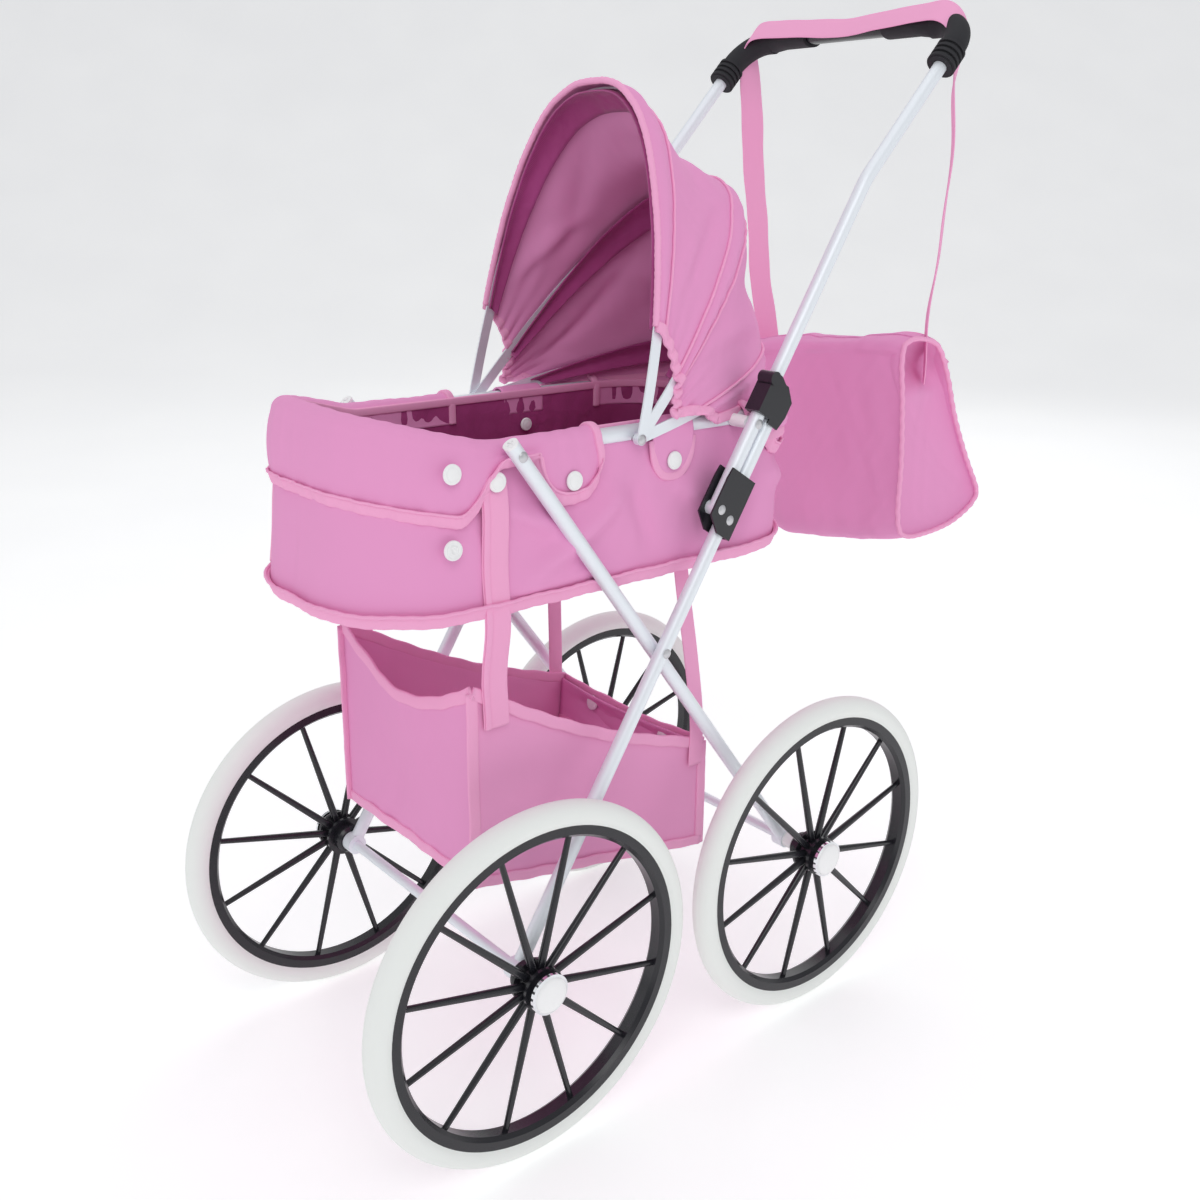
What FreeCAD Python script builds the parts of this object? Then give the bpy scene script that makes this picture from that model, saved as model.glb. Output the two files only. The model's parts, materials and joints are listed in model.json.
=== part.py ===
import FreeCAD, Part
import math
import os

V = FreeCAD.Vector

# ---------------------------------------------------------------------------
# Doll stroller. Millimetres. +Z up, -Y is the front, +X is the stroller's left.
# The floor is z = 0 and the origin lies under the middle of the whole stroller.
# The pieces are drawn with y = 0 midway between the axles, and save() shifts them to the origin.
# ---------------------------------------------------------------------------

# Wheels
WHEEL_D = 268.0
TYRE_SECTION = 19.0
WHEEL_X = 137.0              # middle of the tyre, from the stroller's middle
WHEELBASE = 285.0
TYRE_SEAT = 17.0             # from the tread to the rim's seat
RIM_DEPTH = 7.5              # from the seat to the rim's inner edge
RIM_WIDTH = 15.0
RIM_LIP = 2.6
SPOKES = 12
SPOKE_ROOT_R = 3.1
SPOKE_TIP_R = 2.1
HUB_R = 12.5
HUB_FLANGE_R = 16.0
HUB_FLANGE_T = 2.5
HUB_OUT = 13.0               # hub end beyond the middle of the tyre
CAP_R = 15.0
CAP_DOME = 6.5
CAP_WALL = 1.4
RING_T = 1.8
AXLE_D = 8.0
RUNNING_FIT = 0.1            # radial clearance of a wheel on its axle
AXLE_END = 7.0               # axle beyond the tyre's middle
WASHER_T = 1.0

# Frame tubes
TUBE_D = 10.5
TUBE_WALL = 1.0
LEG_A_X = 103.0              # plane of the inner legs, which carry the rear wheels
PLANE_GAP = 0.5              # between the inner legs and the outer legs or the handle
LEG_A_ANGLE = 53.1
LEG_B_ANGLE = 57.5
LEG_B_TOP = 97.0             # leg B beyond the fold pivot, along the tube
LEG_A_END = 9.0              # leg A beyond its top rivet
EYE_R = 8.0
FOLD_PIVOT_Z = 437.0
HANDLE_GAP = 1.5             # between leg B and the handle tube
HANDLE_BEND_Z = 660.0
HANDLE_BEND_R = 60.0
HANDLE_TOP_ANGLE = 46.0
HANDLE_TOP_RUN = 156.0       # bend to the crossbar, along the tube
GRIP_CORNER_R = 26.0
GRIP_R = 9.5
GRIP_RIB_R = 11.2
GRIP_RIBS = 4
GRIP_RIB_PITCH = 4.8
GRIP_RUN = 20.0              # grip along the tube, below the corner
SLEEVE_END_X = 40.0
SLEEVE_HALF_W = 12.0
SLEEVE_HALF_H = 7.0
BAR_HALF_W = 8.5
BAR_HALF_H = 5.0

# Bracket and latch
PLATE_T = 1.5
PLATE_GAP = 0.25
RIVET_D = 4.0
RIVET_FIT = 0.05
RIVET_HEAD_R = 3.6
RIVET_HEAD_T = 1.4
BRACKET_WEB_T = 2.5
CHEEK_LAP = 2.75             # cheeks in front of the handle tube
LATCH_LAP = 8.0              # latch cheeks behind the axis of leg B
LATCH_LOW = 74.0
LATCH_LEN = 28.0

# Bassinet
RAIL_Z = 493.5
RAIL_D = 12.0
RAIL_X = 87.0
RAIL_FRONT = -214.0
RAIL_TAIL = 75.7             # rear end of the rail, behind the handle's rivet
RAIL_FRONT_R = 66.0
RAIL_RISE = 18.0             # how much the front end of the rail is raised
RAIL_RISE_Y = -138.0         # where the rise starts
RAIL_RISE_R = 60.0
RAIL_REAR_R = 60.0
BODY_BOTTOM = 386.0
BODY_WALL = 2.0
BODY_OUT = 9.0               # body wall beyond the rail's axis
BODY_FLARE = 10.0            # how much further forward the bottom reaches
CUFF_T = 3.0
CUFF_FIT = 0.2
CUFF_REAR_GAP = 14.0         # bare rail behind the handle's rivet
CUFF_LEG_GAP = 12.0          # bare rail behind the top of the inner leg
CUFF_BOW_GAP = 34.0          # bare rail in front of the canopy pivot
BOARD_T = 3.0

# Canopy
CANOPY_Y = -23.0
BOW_PIVOT_DROP = 2.5         # clear of the bore: the hole must not just touch the tube's inside
BOW_T = 1.4
BOW_W = 8.0
BOW_STEP = 1.7
FRONT_BOW = (77.0, 232.0)    # angle above the rail towards the rear, height of the arch
MIDDLE_BOW = (47.0, 219.0)
REAR_BOW = (12.0, 186.0)
CANOPY_DIP = (62.0, 206.0)   # the cloth sags between the bows
REAR_DIP = (28.0, 190.0)
BOW_SEAT = 2.5               # degrees of cloth that lie level over each bow, either side
CANOPY_T = 1.6
CANOPY_GAP = 1.2
CANOPY_HEM = 62.0            # lower edge of the canopy, from the pivot
ARCH_POWER = 0.8

# Basket
BASKET_X = 88.0
BASKET_FRONT = -160.0
BASKET_REAR = 62.0
BASKET_TOP_FRONT = 338.0
BASKET_TOP_REAR = 238.0
BASKET_LOW_FRONT = 192.0
BASKET_LOW_REAR = 150.0
BASKET_WALL = 2.0
STRAP_W = 20.0
STRAP_T = 1.5
STRAP_Y = -152.0

# Bag
BAG_X = 92.0
BAG_TOP_Z = 528.0
BAG_LOW_Z = 352.0
BAG_FRONT_TOP = 262.0
BAG_REAR_TOP = 318.0
BAG_FRONT_LOW = 280.0
BAG_REAR_LOW = 406.0
BAG_REAR_LOW_Z = 384.0
BAG_ROUND = 14.0
BAG_TILT = 9.0               # the soft bag hangs lower on the stroller's right
BAG_STRAP_GAP = 1.0
BAG_STRAP_X = 110.0          # outer face of the hanging ends at the crossbar

# Press studs
SNAP_R = 6.5
SNAP_T = 1.3
SNAP_SPOTS = ((-175.0, 468.0), (-81.0, 466.0), (4.0, 466.0))

# Worked out from the values above
HUB_Z = WHEEL_D / 2
RIM_SEAT_R = HUB_Z - TYRE_SEAT
RIM_INNER_R = RIM_SEAT_R - RIM_DEPTH
TUBE_R = TUBE_D / 2
HANDLE_STEP = TUBE_D + HANDLE_GAP        # between the axes of leg B and the handle tube
LEG_B_X = LEG_A_X + TUBE_D + PLANE_GAP
HUB_IN_X = LEG_B_X + TUBE_R + 0.35
FRONT_Y = -WHEELBASE / 2
REAR_Y = WHEELBASE / 2
SIN_A = math.sin(math.radians(LEG_A_ANGLE))
COS_A = math.cos(math.radians(LEG_A_ANGLE))
SIN_B = math.sin(math.radians(LEG_B_ANGLE))
COS_B = math.cos(math.radians(LEG_B_ANGLE))
CROSS_Z = HUB_Z + WHEELBASE / (COS_A / SIN_A + COS_B / SIN_B)
CROSS_Y = FRONT_Y + (CROSS_Z - HUB_Z) * COS_B / SIN_B
LEG_B_AT_K = (FOLD_PIVOT_Z - HUB_Z + HANDLE_STEP * -COS_B) / SIN_B
K_Y = FRONT_Y + LEG_B_AT_K * COS_B - HANDLE_STEP * SIN_B
K_Z = HUB_Z + LEG_B_AT_K * SIN_B + HANDLE_STEP * COS_B
RAIL_S = (RAIL_Z - K_Z) / SIN_B          # rail pivot along the handle, from the fold pivot
R_Y = K_Y + RAIL_S * COS_B
RAIL_REAR = R_Y + RAIL_TAIL
A_Y = REAR_Y - (RAIL_Z - HUB_Z) * COS_A / SIN_A
RAIL_R = RAIL_D / 2
RAIL_OUT = RAIL_X + RAIL_R
CANOPY_Z = RAIL_Z - BOW_PIVOT_DROP
BOWS_X = RAIL_OUT + CUFF_FIT + CUFF_T + 0.4


def save(name, shape):
    """Write one sub-part, or a group of separate solids, to its own file."""
    shape.translated(V(0, -ORIGIN_Y, 0)).exportStep(os.path.join("parts", name + ".step"))
    print(name, len(shape.Solids), round(shape.Volume / 1000.0, 2), "cm3", shape.isValid())


def along(s, t=0.0):
    """A point in the side plane: s along the handle from the fold pivot, t behind the handle."""
    return K_Y + s * COS_B + t * SIN_B, K_Z + s * SIN_B - t * COS_B


def mirrored(shape):
    """The same shape on the other side of the stroller."""
    return shape.mirror(V(0, 0, 0), V(1, 0, 0))


def both(shape):
    """A pair of equal pieces, one each side."""
    return Part.makeCompound([shape, mirrored(shape)])


def box(x0, x1, y0, y1, z0, z1):
    return Part.makeBox(x1 - x0, y1 - y0, z1 - z0, V(x0, y0, z0))


def pin(x0, x1, y, z, radius):
    """A round bar along X."""
    return Part.makeCylinder(radius, x1 - x0, V(x0, y, z), V(1, 0, 0))


def rivet(x0, x1, y, z, radius=RIVET_D / 2):
    """A rivet along X with a domed head on each end, outside x0 and x1."""
    shank = pin(x0, x1, y, z, radius)
    heads = []
    for x, way in ((x0, -1), (x1, 1)):
        ball_r = (RIVET_HEAD_R ** 2 + RIVET_HEAD_T ** 2) / (2 * RIVET_HEAD_T)
        ball = Part.makeSphere(ball_r, V(x - way * (ball_r - RIVET_HEAD_T), y, z))
        lo, hi = sorted((x, x + way * (RIVET_HEAD_T + 1)))
        heads.append(ball.common(pin(lo, hi, y, z, RIVET_HEAD_R)))
    return shank.fuse(heads)


def rounded_path(points, radii):
    """A wire of straight runs joined by tangent arcs."""
    edges = []
    start = points[0]
    for i in range(1, len(points) - 1):
        corner = points[i]
        back = (points[i - 1] - corner).normalize()
        ahead = (points[i + 1] - corner).normalize()
        half = back.getAngle(ahead) / 2
        reach = radii[i - 1] / math.tan(half)
        middle = (back + ahead).normalize()
        first = corner + back * reach
        last = corner + ahead * reach
        top = corner + middle * (radii[i - 1] / math.sin(half) - radii[i - 1])
        edges.append(Part.LineSegment(start, first).toShape())
        edges.append(Part.Arc(first, top, last).toShape())
        start = last
    edges.append(Part.LineSegment(start, points[-1]).toShape())
    return Part.Wire(edges)


def sweep(path, radius):
    """A round bar along a wire."""
    first = path.OrderedEdges[0]
    start = first.valueAt(first.FirstParameter)
    way = first.tangentAt(first.FirstParameter)
    ring = Part.Wire([Part.Circle(start, way, radius).toShape()])
    return Part.Solid(path.makePipeShell([ring], True, False))


def pipe(path, radius, wall):
    """A round tube along a wire."""
    return sweep(path, radius).cut(sweep(path, radius - wall))


def straight_tube(x, y0, z0, y1, z1, radius=TUBE_R, wall=TUBE_WALL):
    start = V(x, y0, z0)
    way = V(x, y1, z1) - start
    outer = Part.makeCylinder(radius, way.Length, start, way)
    return outer.cut(Part.makeCylinder(radius - wall, way.Length, start, way))


def turned(profile, x, y, z):
    """A closed profile of (along X, radius) points turned about an axis along X."""
    pts = [V(x + a, y, z + r) for a, r in profile]
    face = Part.Face(Part.makePolygon(pts + [pts[0]]))
    return face.revolve(V(x, y, z), V(1, 0, 0), 360)


def plate(outline, x0, x1):
    """A flat plate across X whose outline is in (s, t) of the handle."""
    pts = [V(x0, *along(s, t)) for s, t in outline]
    return Part.Face(Part.makePolygon(pts + [pts[0]])).extrude(V(x1 - x0, 0, 0))


# --- wheels ----------------------------------------------------------------

def wheel(side, y, name):
    """One wheel: tyre, spoked rim with its hub, hub cap and the ring round the cap."""
    half = RIM_WIDTH / 2
    lip = RIM_SEAT_R + RIM_LIP
    envelope = [(-half, 60), (-half, lip), (-half + 1.6, lip), (-half + 3.2, RIM_SEAT_R),
                (half - 3.2, RIM_SEAT_R), (half - 1.6, lip), (half, lip), (half, 60)]
    ring = [(-half, RIM_INNER_R + 2.5)] + envelope[1:7] + [
        (half, RIM_INNER_R + 2.5), (half - 3, RIM_INNER_R), (-half + 3, RIM_INNER_R)]
    core_r = WHEEL_D / 2 - TYRE_SECTION / 2
    tyre = Part.makeTorus(core_r, TYRE_SECTION / 2, V(WHEEL_X, y, HUB_Z), V(1, 0, 0))
    tyre = tyre.cut(turned(envelope, WHEEL_X, y, HUB_Z))
    hub_in = HUB_IN_X - WHEEL_X
    bore = AXLE_D / 2 + RUNNING_FIT
    hub = [(hub_in, bore), (hub_in, HUB_R - 3), (hub_in + 2, HUB_R - 1), (-6 - HUB_FLANGE_T, HUB_R - 1),
           (-6 - HUB_FLANGE_T, HUB_FLANGE_R), (-6, HUB_FLANGE_R), (-4, HUB_R), (4, HUB_R),
           (6, HUB_FLANGE_R), (6 + HUB_FLANGE_T, HUB_FLANGE_R), (6 + HUB_FLANGE_T, HUB_R),
           (HUB_OUT, HUB_R), (HUB_OUT, bore)]
    parts = [turned(hub, WHEEL_X, y, HUB_Z)]
    for k in range(SPOKES):
        a = 2 * math.pi * (k + 0.5) / SPOKES
        out = V(0, math.cos(a), math.sin(a))
        foot = V(WHEEL_X, y, HUB_Z) + out * (HUB_R - 2)
        parts.append(Part.makeCone(SPOKE_ROOT_R, SPOKE_TIP_R, RIM_INNER_R + 1 - HUB_R + 2, foot, out))
    rim = turned(ring, WHEEL_X, y, HUB_Z).fuse(parts)
    base = HUB_OUT
    cap = [(base, HUB_R - 1), (base, CAP_R - RING_T), (base + 3, CAP_R - RING_T)]
    for k in range(1, 7):
        a = math.pi / 2 * k / 6
        cap.append((base + 3 + (CAP_DOME - 3) * math.sin(a), (CAP_R - RING_T) * math.cos(a)))
    cap += [(base + CAP_DOME - CAP_WALL, 0), (base + CAP_WALL, HUB_R - 1)]
    cover = turned(cap, WHEEL_X, y, HUB_Z)
    band = [(base, CAP_R - RING_T), (base, CAP_R), (base + 2.4, CAP_R), (base + 3, CAP_R - RING_T)]
    shapes = {"tyre": tyre, "rim": rim, "hub_cap": cover, "cap_ring": turned(band, WHEEL_X, y, HUB_Z)}
    for kind, shape in shapes.items():
        save(name + "_" + kind, shape if side > 0 else mirrored(shape))


def axle(name, y):
    """A steel rod across the stroller."""
    reach = WHEEL_X + AXLE_END
    save(name, pin(-reach, reach, y, HUB_Z, AXLE_D / 2))


def lock_washers(name, y):
    """Push-on washers outside the hubs, inside the hub caps."""
    x = WHEEL_X + HUB_OUT + 0.2
    ring = pin(x, x + WASHER_T, y, HUB_Z, 6.0).cut(pin(x, x + WASHER_T, y, HUB_Z, AXLE_D / 2))
    save(name, both(ring))


# --- legs ------------------------------------------------------------------

def leg_eye(x, y):
    """The closed lower end of a leg, round the axle."""
    return pin(x - TUBE_R, x + TUBE_R, y, HUB_Z, EYE_R)


def leg_b():
    """Outer leg: front axle to the latch, past the crossing and the bracket."""
    top_y, top_z = along(LEG_B_TOP, HANDLE_STEP)
    tube = straight_tube(LEG_B_X, FRONT_Y, HUB_Z, top_y, top_z)
    leg = tube.fuse(leg_eye(LEG_B_X, FRONT_Y))
    leg = leg.cut(pin(0, 200, FRONT_Y, HUB_Z, AXLE_D / 2))
    for y, z in ((CROSS_Y, CROSS_Z), along(-3, HANDLE_STEP)):
        leg = leg.cut(pin(0, 200, y, z, RIVET_D / 2))
    return leg


def leg_a():
    """Inner leg: rear axle to the top rivet beside the rail."""
    top_y = A_Y - LEG_A_END * COS_A
    top_z = RAIL_Z + LEG_A_END * SIN_A
    tube = straight_tube(LEG_A_X, REAR_Y, HUB_Z, top_y, top_z)
    leg = tube.fuse(leg_eye(LEG_A_X, REAR_Y))
    leg = leg.cut(pin(0, 200, REAR_Y, HUB_Z, AXLE_D / 2))
    leg = leg.cut(pin(0, 200, A_Y, RAIL_Z, RIVET_D / 2))
    return leg.cut(pin(0, 200, CROSS_Y, CROSS_Z, RIVET_D / 2 + RIVET_FIT))


def leg_a_plug():
    """Plastic end plug in the top of leg A, with a cross-shaped recess."""
    way = V(0, -COS_A, SIN_A)
    mouth = V(LEG_A_X, A_Y, RAIL_Z) + way * LEG_A_END
    plug = Part.makeCylinder(TUBE_R - TUBE_WALL, 5.0, mouth - way * 4.0, way)
    plug = plug.fuse(Part.makeCylinder(TUBE_R, 1.6, mouth, way))
    for wide, deep in ((5.4, 1.2), (1.2, 5.4)):
        slot = Part.makeBox(wide, deep, 1.0, V(-wide / 2, -deep / 2, 0))
        turn = FreeCAD.Rotation(V(0, 0, 1), way)
        slot.Placement = FreeCAD.Placement(mouth + way * 0.8, turn)
        plug = plug.cut(slot)
    return plug


# --- handle, bracket and latch ---------------------------------------------

def handle_points():
    """Corners of the handle tube's line on the left side, fold pivot to crossbar."""
    bend_s = (HANDLE_BEND_Z - K_Z) / SIN_B
    by, bz = along(bend_s)
    a = math.radians(HANDLE_TOP_ANGLE)
    ty = by + HANDLE_TOP_RUN * math.cos(a)
    tz = bz + HANDLE_TOP_RUN * math.sin(a)
    return V(LEG_B_X, K_Y, K_Z), V(LEG_B_X, by, bz), V(LEG_B_X, ty, tz)


def handle_tube():
    """Handle tube with a round closed foot at the fold pivot and holes for its rivets."""
    foot, bend, corner = handle_points()
    top = corner - (corner - bend).normalize() * (GRIP_CORNER_R + 4)
    path = rounded_path([foot, bend, top], [HANDLE_BEND_R])
    tube = pipe(path, TUBE_R, TUBE_WALL)
    tube = tube.fuse(pin(LEG_B_X - TUBE_R, LEG_B_X + TUBE_R, K_Y, K_Z, TUBE_R - 0.2))
    tube = tube.cut(pin(0, 200, K_Y, K_Z, RIVET_D / 2 + RIVET_FIT))
    return tube.cut(pin(0, 200, R_Y, RAIL_Z, RIVET_D / 2))


def bar_section(x, half_w, half_h):
    """A rounded section of the crossbar, half_w along Y and half_h along Z, at x."""
    centre = handle_points()[2]
    count = 16
    pts = []
    for k in range(count):
        a = 2 * math.pi * k / count
        pts.append(V(x, centre.y + half_w * math.cos(a), centre.z + half_h * math.sin(a)))
    curve = Part.BSplineCurve()
    curve.interpolate(pts, PeriodicFlag=True)
    return Part.Wire([curve.toShape()])


def corner_grip():
    """Ribbed rubber corner over the tube's end, running into a smooth sleeve on the bar."""
    foot, bend, corner = handle_points()
    way = (corner - bend).normalize()
    start = corner - way * (GRIP_CORNER_R + GRIP_RUN)
    inner = V(corner.x - GRIP_CORNER_R - 6, corner.y, corner.z)
    path = rounded_path([start, corner, inner], [GRIP_CORNER_R])
    grip = sweep(path, GRIP_R)
    ribs = []
    for k in range(GRIP_RIBS):
        at = start + way * (1 + GRIP_RIB_PITCH * k)
        ribs.append(Part.makeCylinder(GRIP_RIB_R, GRIP_RIB_PITCH / 2, at, way))
    sections = [bar_section(inner.x + 3, GRIP_R - 0.3, GRIP_R - 0.3),
                bar_section(inner.x - 12, SLEEVE_HALF_W, SLEEVE_HALF_H),
                bar_section(SLEEVE_END_X, SLEEVE_HALF_W, SLEEVE_HALF_H)]
    sleeve = Part.makeLoft(sections, True, True)
    grip = grip.fuse(ribs + [sleeve])
    hole = Part.makeCylinder(TUBE_R, GRIP_RUN - 3.99, start, way)
    return grip.cut(hole)


def crossbar():
    """The bare middle of the handle bar, between the two sleeves."""
    sections = [bar_section(x, BAR_HALF_W, BAR_HALF_H) for x in (-SLEEVE_END_X, SLEEVE_END_X)]
    return Part.makeLoft(sections, True, True)


def bracket():
    """Channel of the fold pivot: two cheeks joined behind leg B, open towards the front."""
    gap = TUBE_R + PLATE_GAP
    back_t = HANDLE_STEP + gap
    end_t = back_t + BRACKET_WEB_T
    front_t = -TUBE_R - CHEEK_LAP
    outline = [(30, front_t + 1), (30, end_t), (-16, end_t), (-16, 5), (-7, front_t), (22, front_t)]
    cheeks = [plate(outline, LEG_B_X - gap - PLATE_T, LEG_B_X - gap),
              plate(outline, LEG_B_X + gap, LEG_B_X + gap + PLATE_T)]
    back = plate([(30, back_t), (30, end_t), (-16, end_t), (-16, back_t)],
                 LEG_B_X - gap - PLATE_T, LEG_B_X + gap + PLATE_T)
    shape = cheeks[0].fuse([cheeks[1], back])
    for s, t in ((0, 0), (-3, HANDLE_STEP)):
        y, z = along(s, t)
        shape = shape.cut(pin(0, 200, y, z, RIVET_D / 2))
    return shape


def latch():
    """Sliding lock: a sleeve on the handle tube with two cheeks over the top of leg B."""
    gap = TUBE_R + PLATE_GAP
    low, high = LATCH_LOW, LATCH_LOW + LATCH_LEN
    web_t = HANDLE_STEP - TUBE_R - PLATE_GAP
    front_t = -TUBE_R - CHEEK_LAP
    tip_t = HANDLE_STEP + LATCH_LAP
    sleeve = plate([(low, front_t), (low, web_t), (high, web_t), (high + 3, 0), (high + 3, front_t + 2),
                    (high, front_t)], LEG_B_X - gap - PLATE_T, LEG_B_X + gap + PLATE_T)
    cheek = [(low - 3, web_t - 1), (low - 3, tip_t - 3), (low + 8, tip_t), (high - 8, tip_t),
             (high, HANDLE_STEP - 2), (high, web_t - 1)]
    parts = [plate(cheek, LEG_B_X - gap - PLATE_T, LEG_B_X - gap),
             plate(cheek, LEG_B_X + gap, LEG_B_X + gap + PLATE_T)]
    knob_y, knob_z = along(high - 2, -7)
    parts.append(pin(LEG_B_X - 5, LEG_B_X + gap + PLATE_T + 1.5, knob_y, knob_z, 5.0))
    y0, z0 = along(low - 10)
    bore = Part.makeCylinder(TUBE_R + 0.1, LATCH_LEN + 40, V(LEG_B_X, y0, z0), V(0, COS_B, SIN_B))
    return sleeve.fuse(parts).cut(bore)


# --- bassinet --------------------------------------------------------------

def plan_wire(grow, z, front_more=0.0):
    """The bassinet's plan outline at height z, grow outside the rail's axis."""
    x = RAIL_X + grow
    y0 = RAIL_FRONT - grow - front_more
    y1 = RAIL_REAR + grow
    rf = RAIL_FRONT_R + grow
    rr = RAIL_REAR_R + grow
    c = math.sqrt(0.5)

    def arc(cx, cy, r, a0):
        pts = []
        for a in (a0, a0 + math.pi / 4, a0 + math.pi / 2):
            pts.append(V(cx + r * math.cos(a), cy + r * math.sin(a), z))
        return pts

    corners = [arc(x - rf, y0 + rf, rf, -math.pi / 2), arc(x - rr, y1 - rr, rr, 0),
               arc(-x + rr, y1 - rr, rr, math.pi / 2), arc(-x + rf, y0 + rf, rf, math.pi)]
    edges = []
    for i, pts in enumerate(corners):
        edges.append(Part.Arc(*pts).toShape())
        edges.append(Part.LineSegment(pts[2], corners[(i + 1) % 4][0]).toShape())
    return Part.Wire(edges)


def rail_front(start_y):
    """Centre line of the rail's front half, which rises towards the front."""
    x, y0, z = RAIL_X, RAIL_FRONT, RAIL_Z
    side = [V(x, start_y, z), V(x, RAIL_RISE_Y, z), V(x, y0, z + RAIL_RISE)]
    points = [V(-p.x, p.y, p.z) for p in side] + side[::-1]
    if start_y <= RAIL_RISE_Y:
        points = points[1:-1]
        points[0] = points[0] + (points[1] - points[0]) * 0.1
        points[-1] = points[-1] + (points[-2] - points[-1]) * 0.1
        return rounded_path(points, [RAIL_FRONT_R] * 2)
    return rounded_path(points, [RAIL_RISE_R, RAIL_FRONT_R, RAIL_FRONT_R, RAIL_RISE_R])


def rail():
    """Oval tube ring that carries the bassinet."""
    x, y1, z = RAIL_X, RAIL_REAR, RAIL_Z
    front = rail_front(0)
    rear = rounded_path([V(-x, 0, z), V(-x, y1, z), V(x, y1, z), V(x, 0, z)], [RAIL_REAR_R] * 2)
    ring = sweep(front, RAIL_R).fuse(sweep(rear, RAIL_R)).removeSplitter()
    hollow = sweep(front, RAIL_R - TUBE_WALL).fuse(sweep(rear, RAIL_R - TUBE_WALL))
    ring = ring.cut(hollow)
    ring = ring.cut(pin(-200, 200, R_Y, z, RIVET_D / 2 + RIVET_FIT))
    return ring.cut(pin(-200, 200, CANOPY_Y, CANOPY_Z, RIVET_D / 2))


def bassinet_body():
    """Fabric tub that hangs from the rail, with its floor."""
    top = RAIL_Z - RAIL_R - 2.5
    outer = Part.makeLoft([plan_wire(BODY_OUT, BODY_BOTTOM, BODY_FLARE), plan_wire(BODY_OUT, top)], True, True)
    floor = BODY_BOTTOM + BODY_WALL
    inner_out = BODY_OUT - BODY_WALL
    inner = Part.makeLoft([plan_wire(inner_out, floor, BODY_FLARE), plan_wire(inner_out, top + 1)], True, True)
    return outer.cut(inner)


def base_board():
    """Stiff board that lies on the bassinet's floor."""
    z = BODY_BOTTOM + BODY_WALL
    grow = BODY_OUT - BODY_WALL - 3
    face = Part.Face(plan_wire(grow, z, BODY_FLARE - 2))
    return face.extrude(V(0, 0, BOARD_T))


def cuff():
    """Padded fabric folded over the rail, left open at the pivots and where the rail is bare."""
    r0 = RAIL_R + CUFF_FIT
    r1 = r0 + CUFF_T
    x, y1, z = RAIL_X, RAIL_REAR, RAIL_Z
    rear_end = R_Y + CUFF_REAR_GAP
    runs = [rail_front(RAIL_RISE_Y)]
    runs.append(rounded_path([V(-x, rear_end, z), V(-x, y1, z), V(x, y1, z), V(x, rear_end, z)],
                             [RAIL_REAR_R] * 2))
    solids = [pipe(w, r1, CUFF_T) for w in runs]
    for side in (-1, 1):
        solids.append(straight_tube(side * x, A_Y + CUFF_LEG_GAP, z, CANOPY_Y - CUFF_BOW_GAP, z, r1, CUFF_T))
    return Part.makeCompound(solids)


# --- canopy ----------------------------------------------------------------

def arch_points(angle, half_w, height, low, count=17):
    """Points of an arch about the canopy pivot: wide legs that close over in a round top."""
    a = math.radians(angle)
    first = math.asin(min(1.0, low / height))
    pts = []
    for k in range(count):
        t = first + (math.pi - 2 * first) * k / (count - 1)
        c = math.cos(t)
        u = half_w * math.copysign(abs(c) ** ARCH_POWER, c)
        v = height * math.sin(t)
        pts.append(V(u, CANOPY_Y + v * math.cos(a), CANOPY_Z + v * math.sin(a)))
    return pts


def ribbon(angle, half_w, height, low, thick):
    """Closed outline between an arch and the same arch made thick larger."""
    inner = arch_points(angle, half_w, height, low)
    outer = arch_points(angle, half_w + thick, height + thick, low)
    edges = []
    for pts in (inner, outer):
        curve = Part.BSplineCurve()
        curve.interpolate(pts)
        edges.append(curve.toShape())
    edges.append(Part.LineSegment(inner[0], outer[0]).toShape())
    edges.append(Part.LineSegment(inner[-1], outer[-1]).toShape())
    return Part.Wire(Part.__sortEdges__(edges))


def bow(angle, height, layer):
    """A flat steel bow: an arch strip on edge, with an eye at each pivot."""
    half_w = BOWS_X + layer * BOW_STEP
    a = math.radians(angle)
    across = V(0, -math.sin(a), math.cos(a)) * BOW_W
    face = Part.Face(ribbon(angle, half_w, height, 0.0, BOW_T))
    strip = face.extrude(across)
    strip.translate(across * -0.5)
    eyes = []
    for side in (-1, 1):
        lo, hi = sorted((side * half_w, side * (half_w + BOW_T)))
        eyes.append(pin(lo, hi, CANOPY_Y, CANOPY_Z, BOW_W / 2))
    shape = strip.fuse(eyes)
    return shape.cut(pin(-200, 200, CANOPY_Y, CANOPY_Z, RIVET_D / 2 + RIVET_FIT))


def canopy():
    """One curved sheet over the bows, open to the front."""
    half_w = BOWS_X + 2 * BOW_STEP + BOW_T + CANOPY_GAP
    extra = BOW_T + CANOPY_GAP
    stations = []
    for bow, dip in ((FRONT_BOW, CANOPY_DIP), (MIDDLE_BOW, REAR_DIP), (REAR_BOW, None)):
        stations += [(bow[0] + BOW_SEAT, bow[1]), (bow[0] - BOW_SEAT, bow[1])]
        if dip:
            stations.append(dip)
    wires = [ribbon(a, half_w, h + extra, CANOPY_HEM, CANOPY_T) for a, h in stations]
    return Part.makeLoft(wires, True, True)


def canopy_pivots():
    """Shouldered rivets that carry the bows on the rail."""
    x0 = RAIL_X - RAIL_R - 0.3
    x1 = BOWS_X + 2 * BOW_STEP + BOW_T + 0.3
    return both(rivet(x0, x1, CANOPY_Y, CANOPY_Z))


# --- basket ----------------------------------------------------------------

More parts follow.
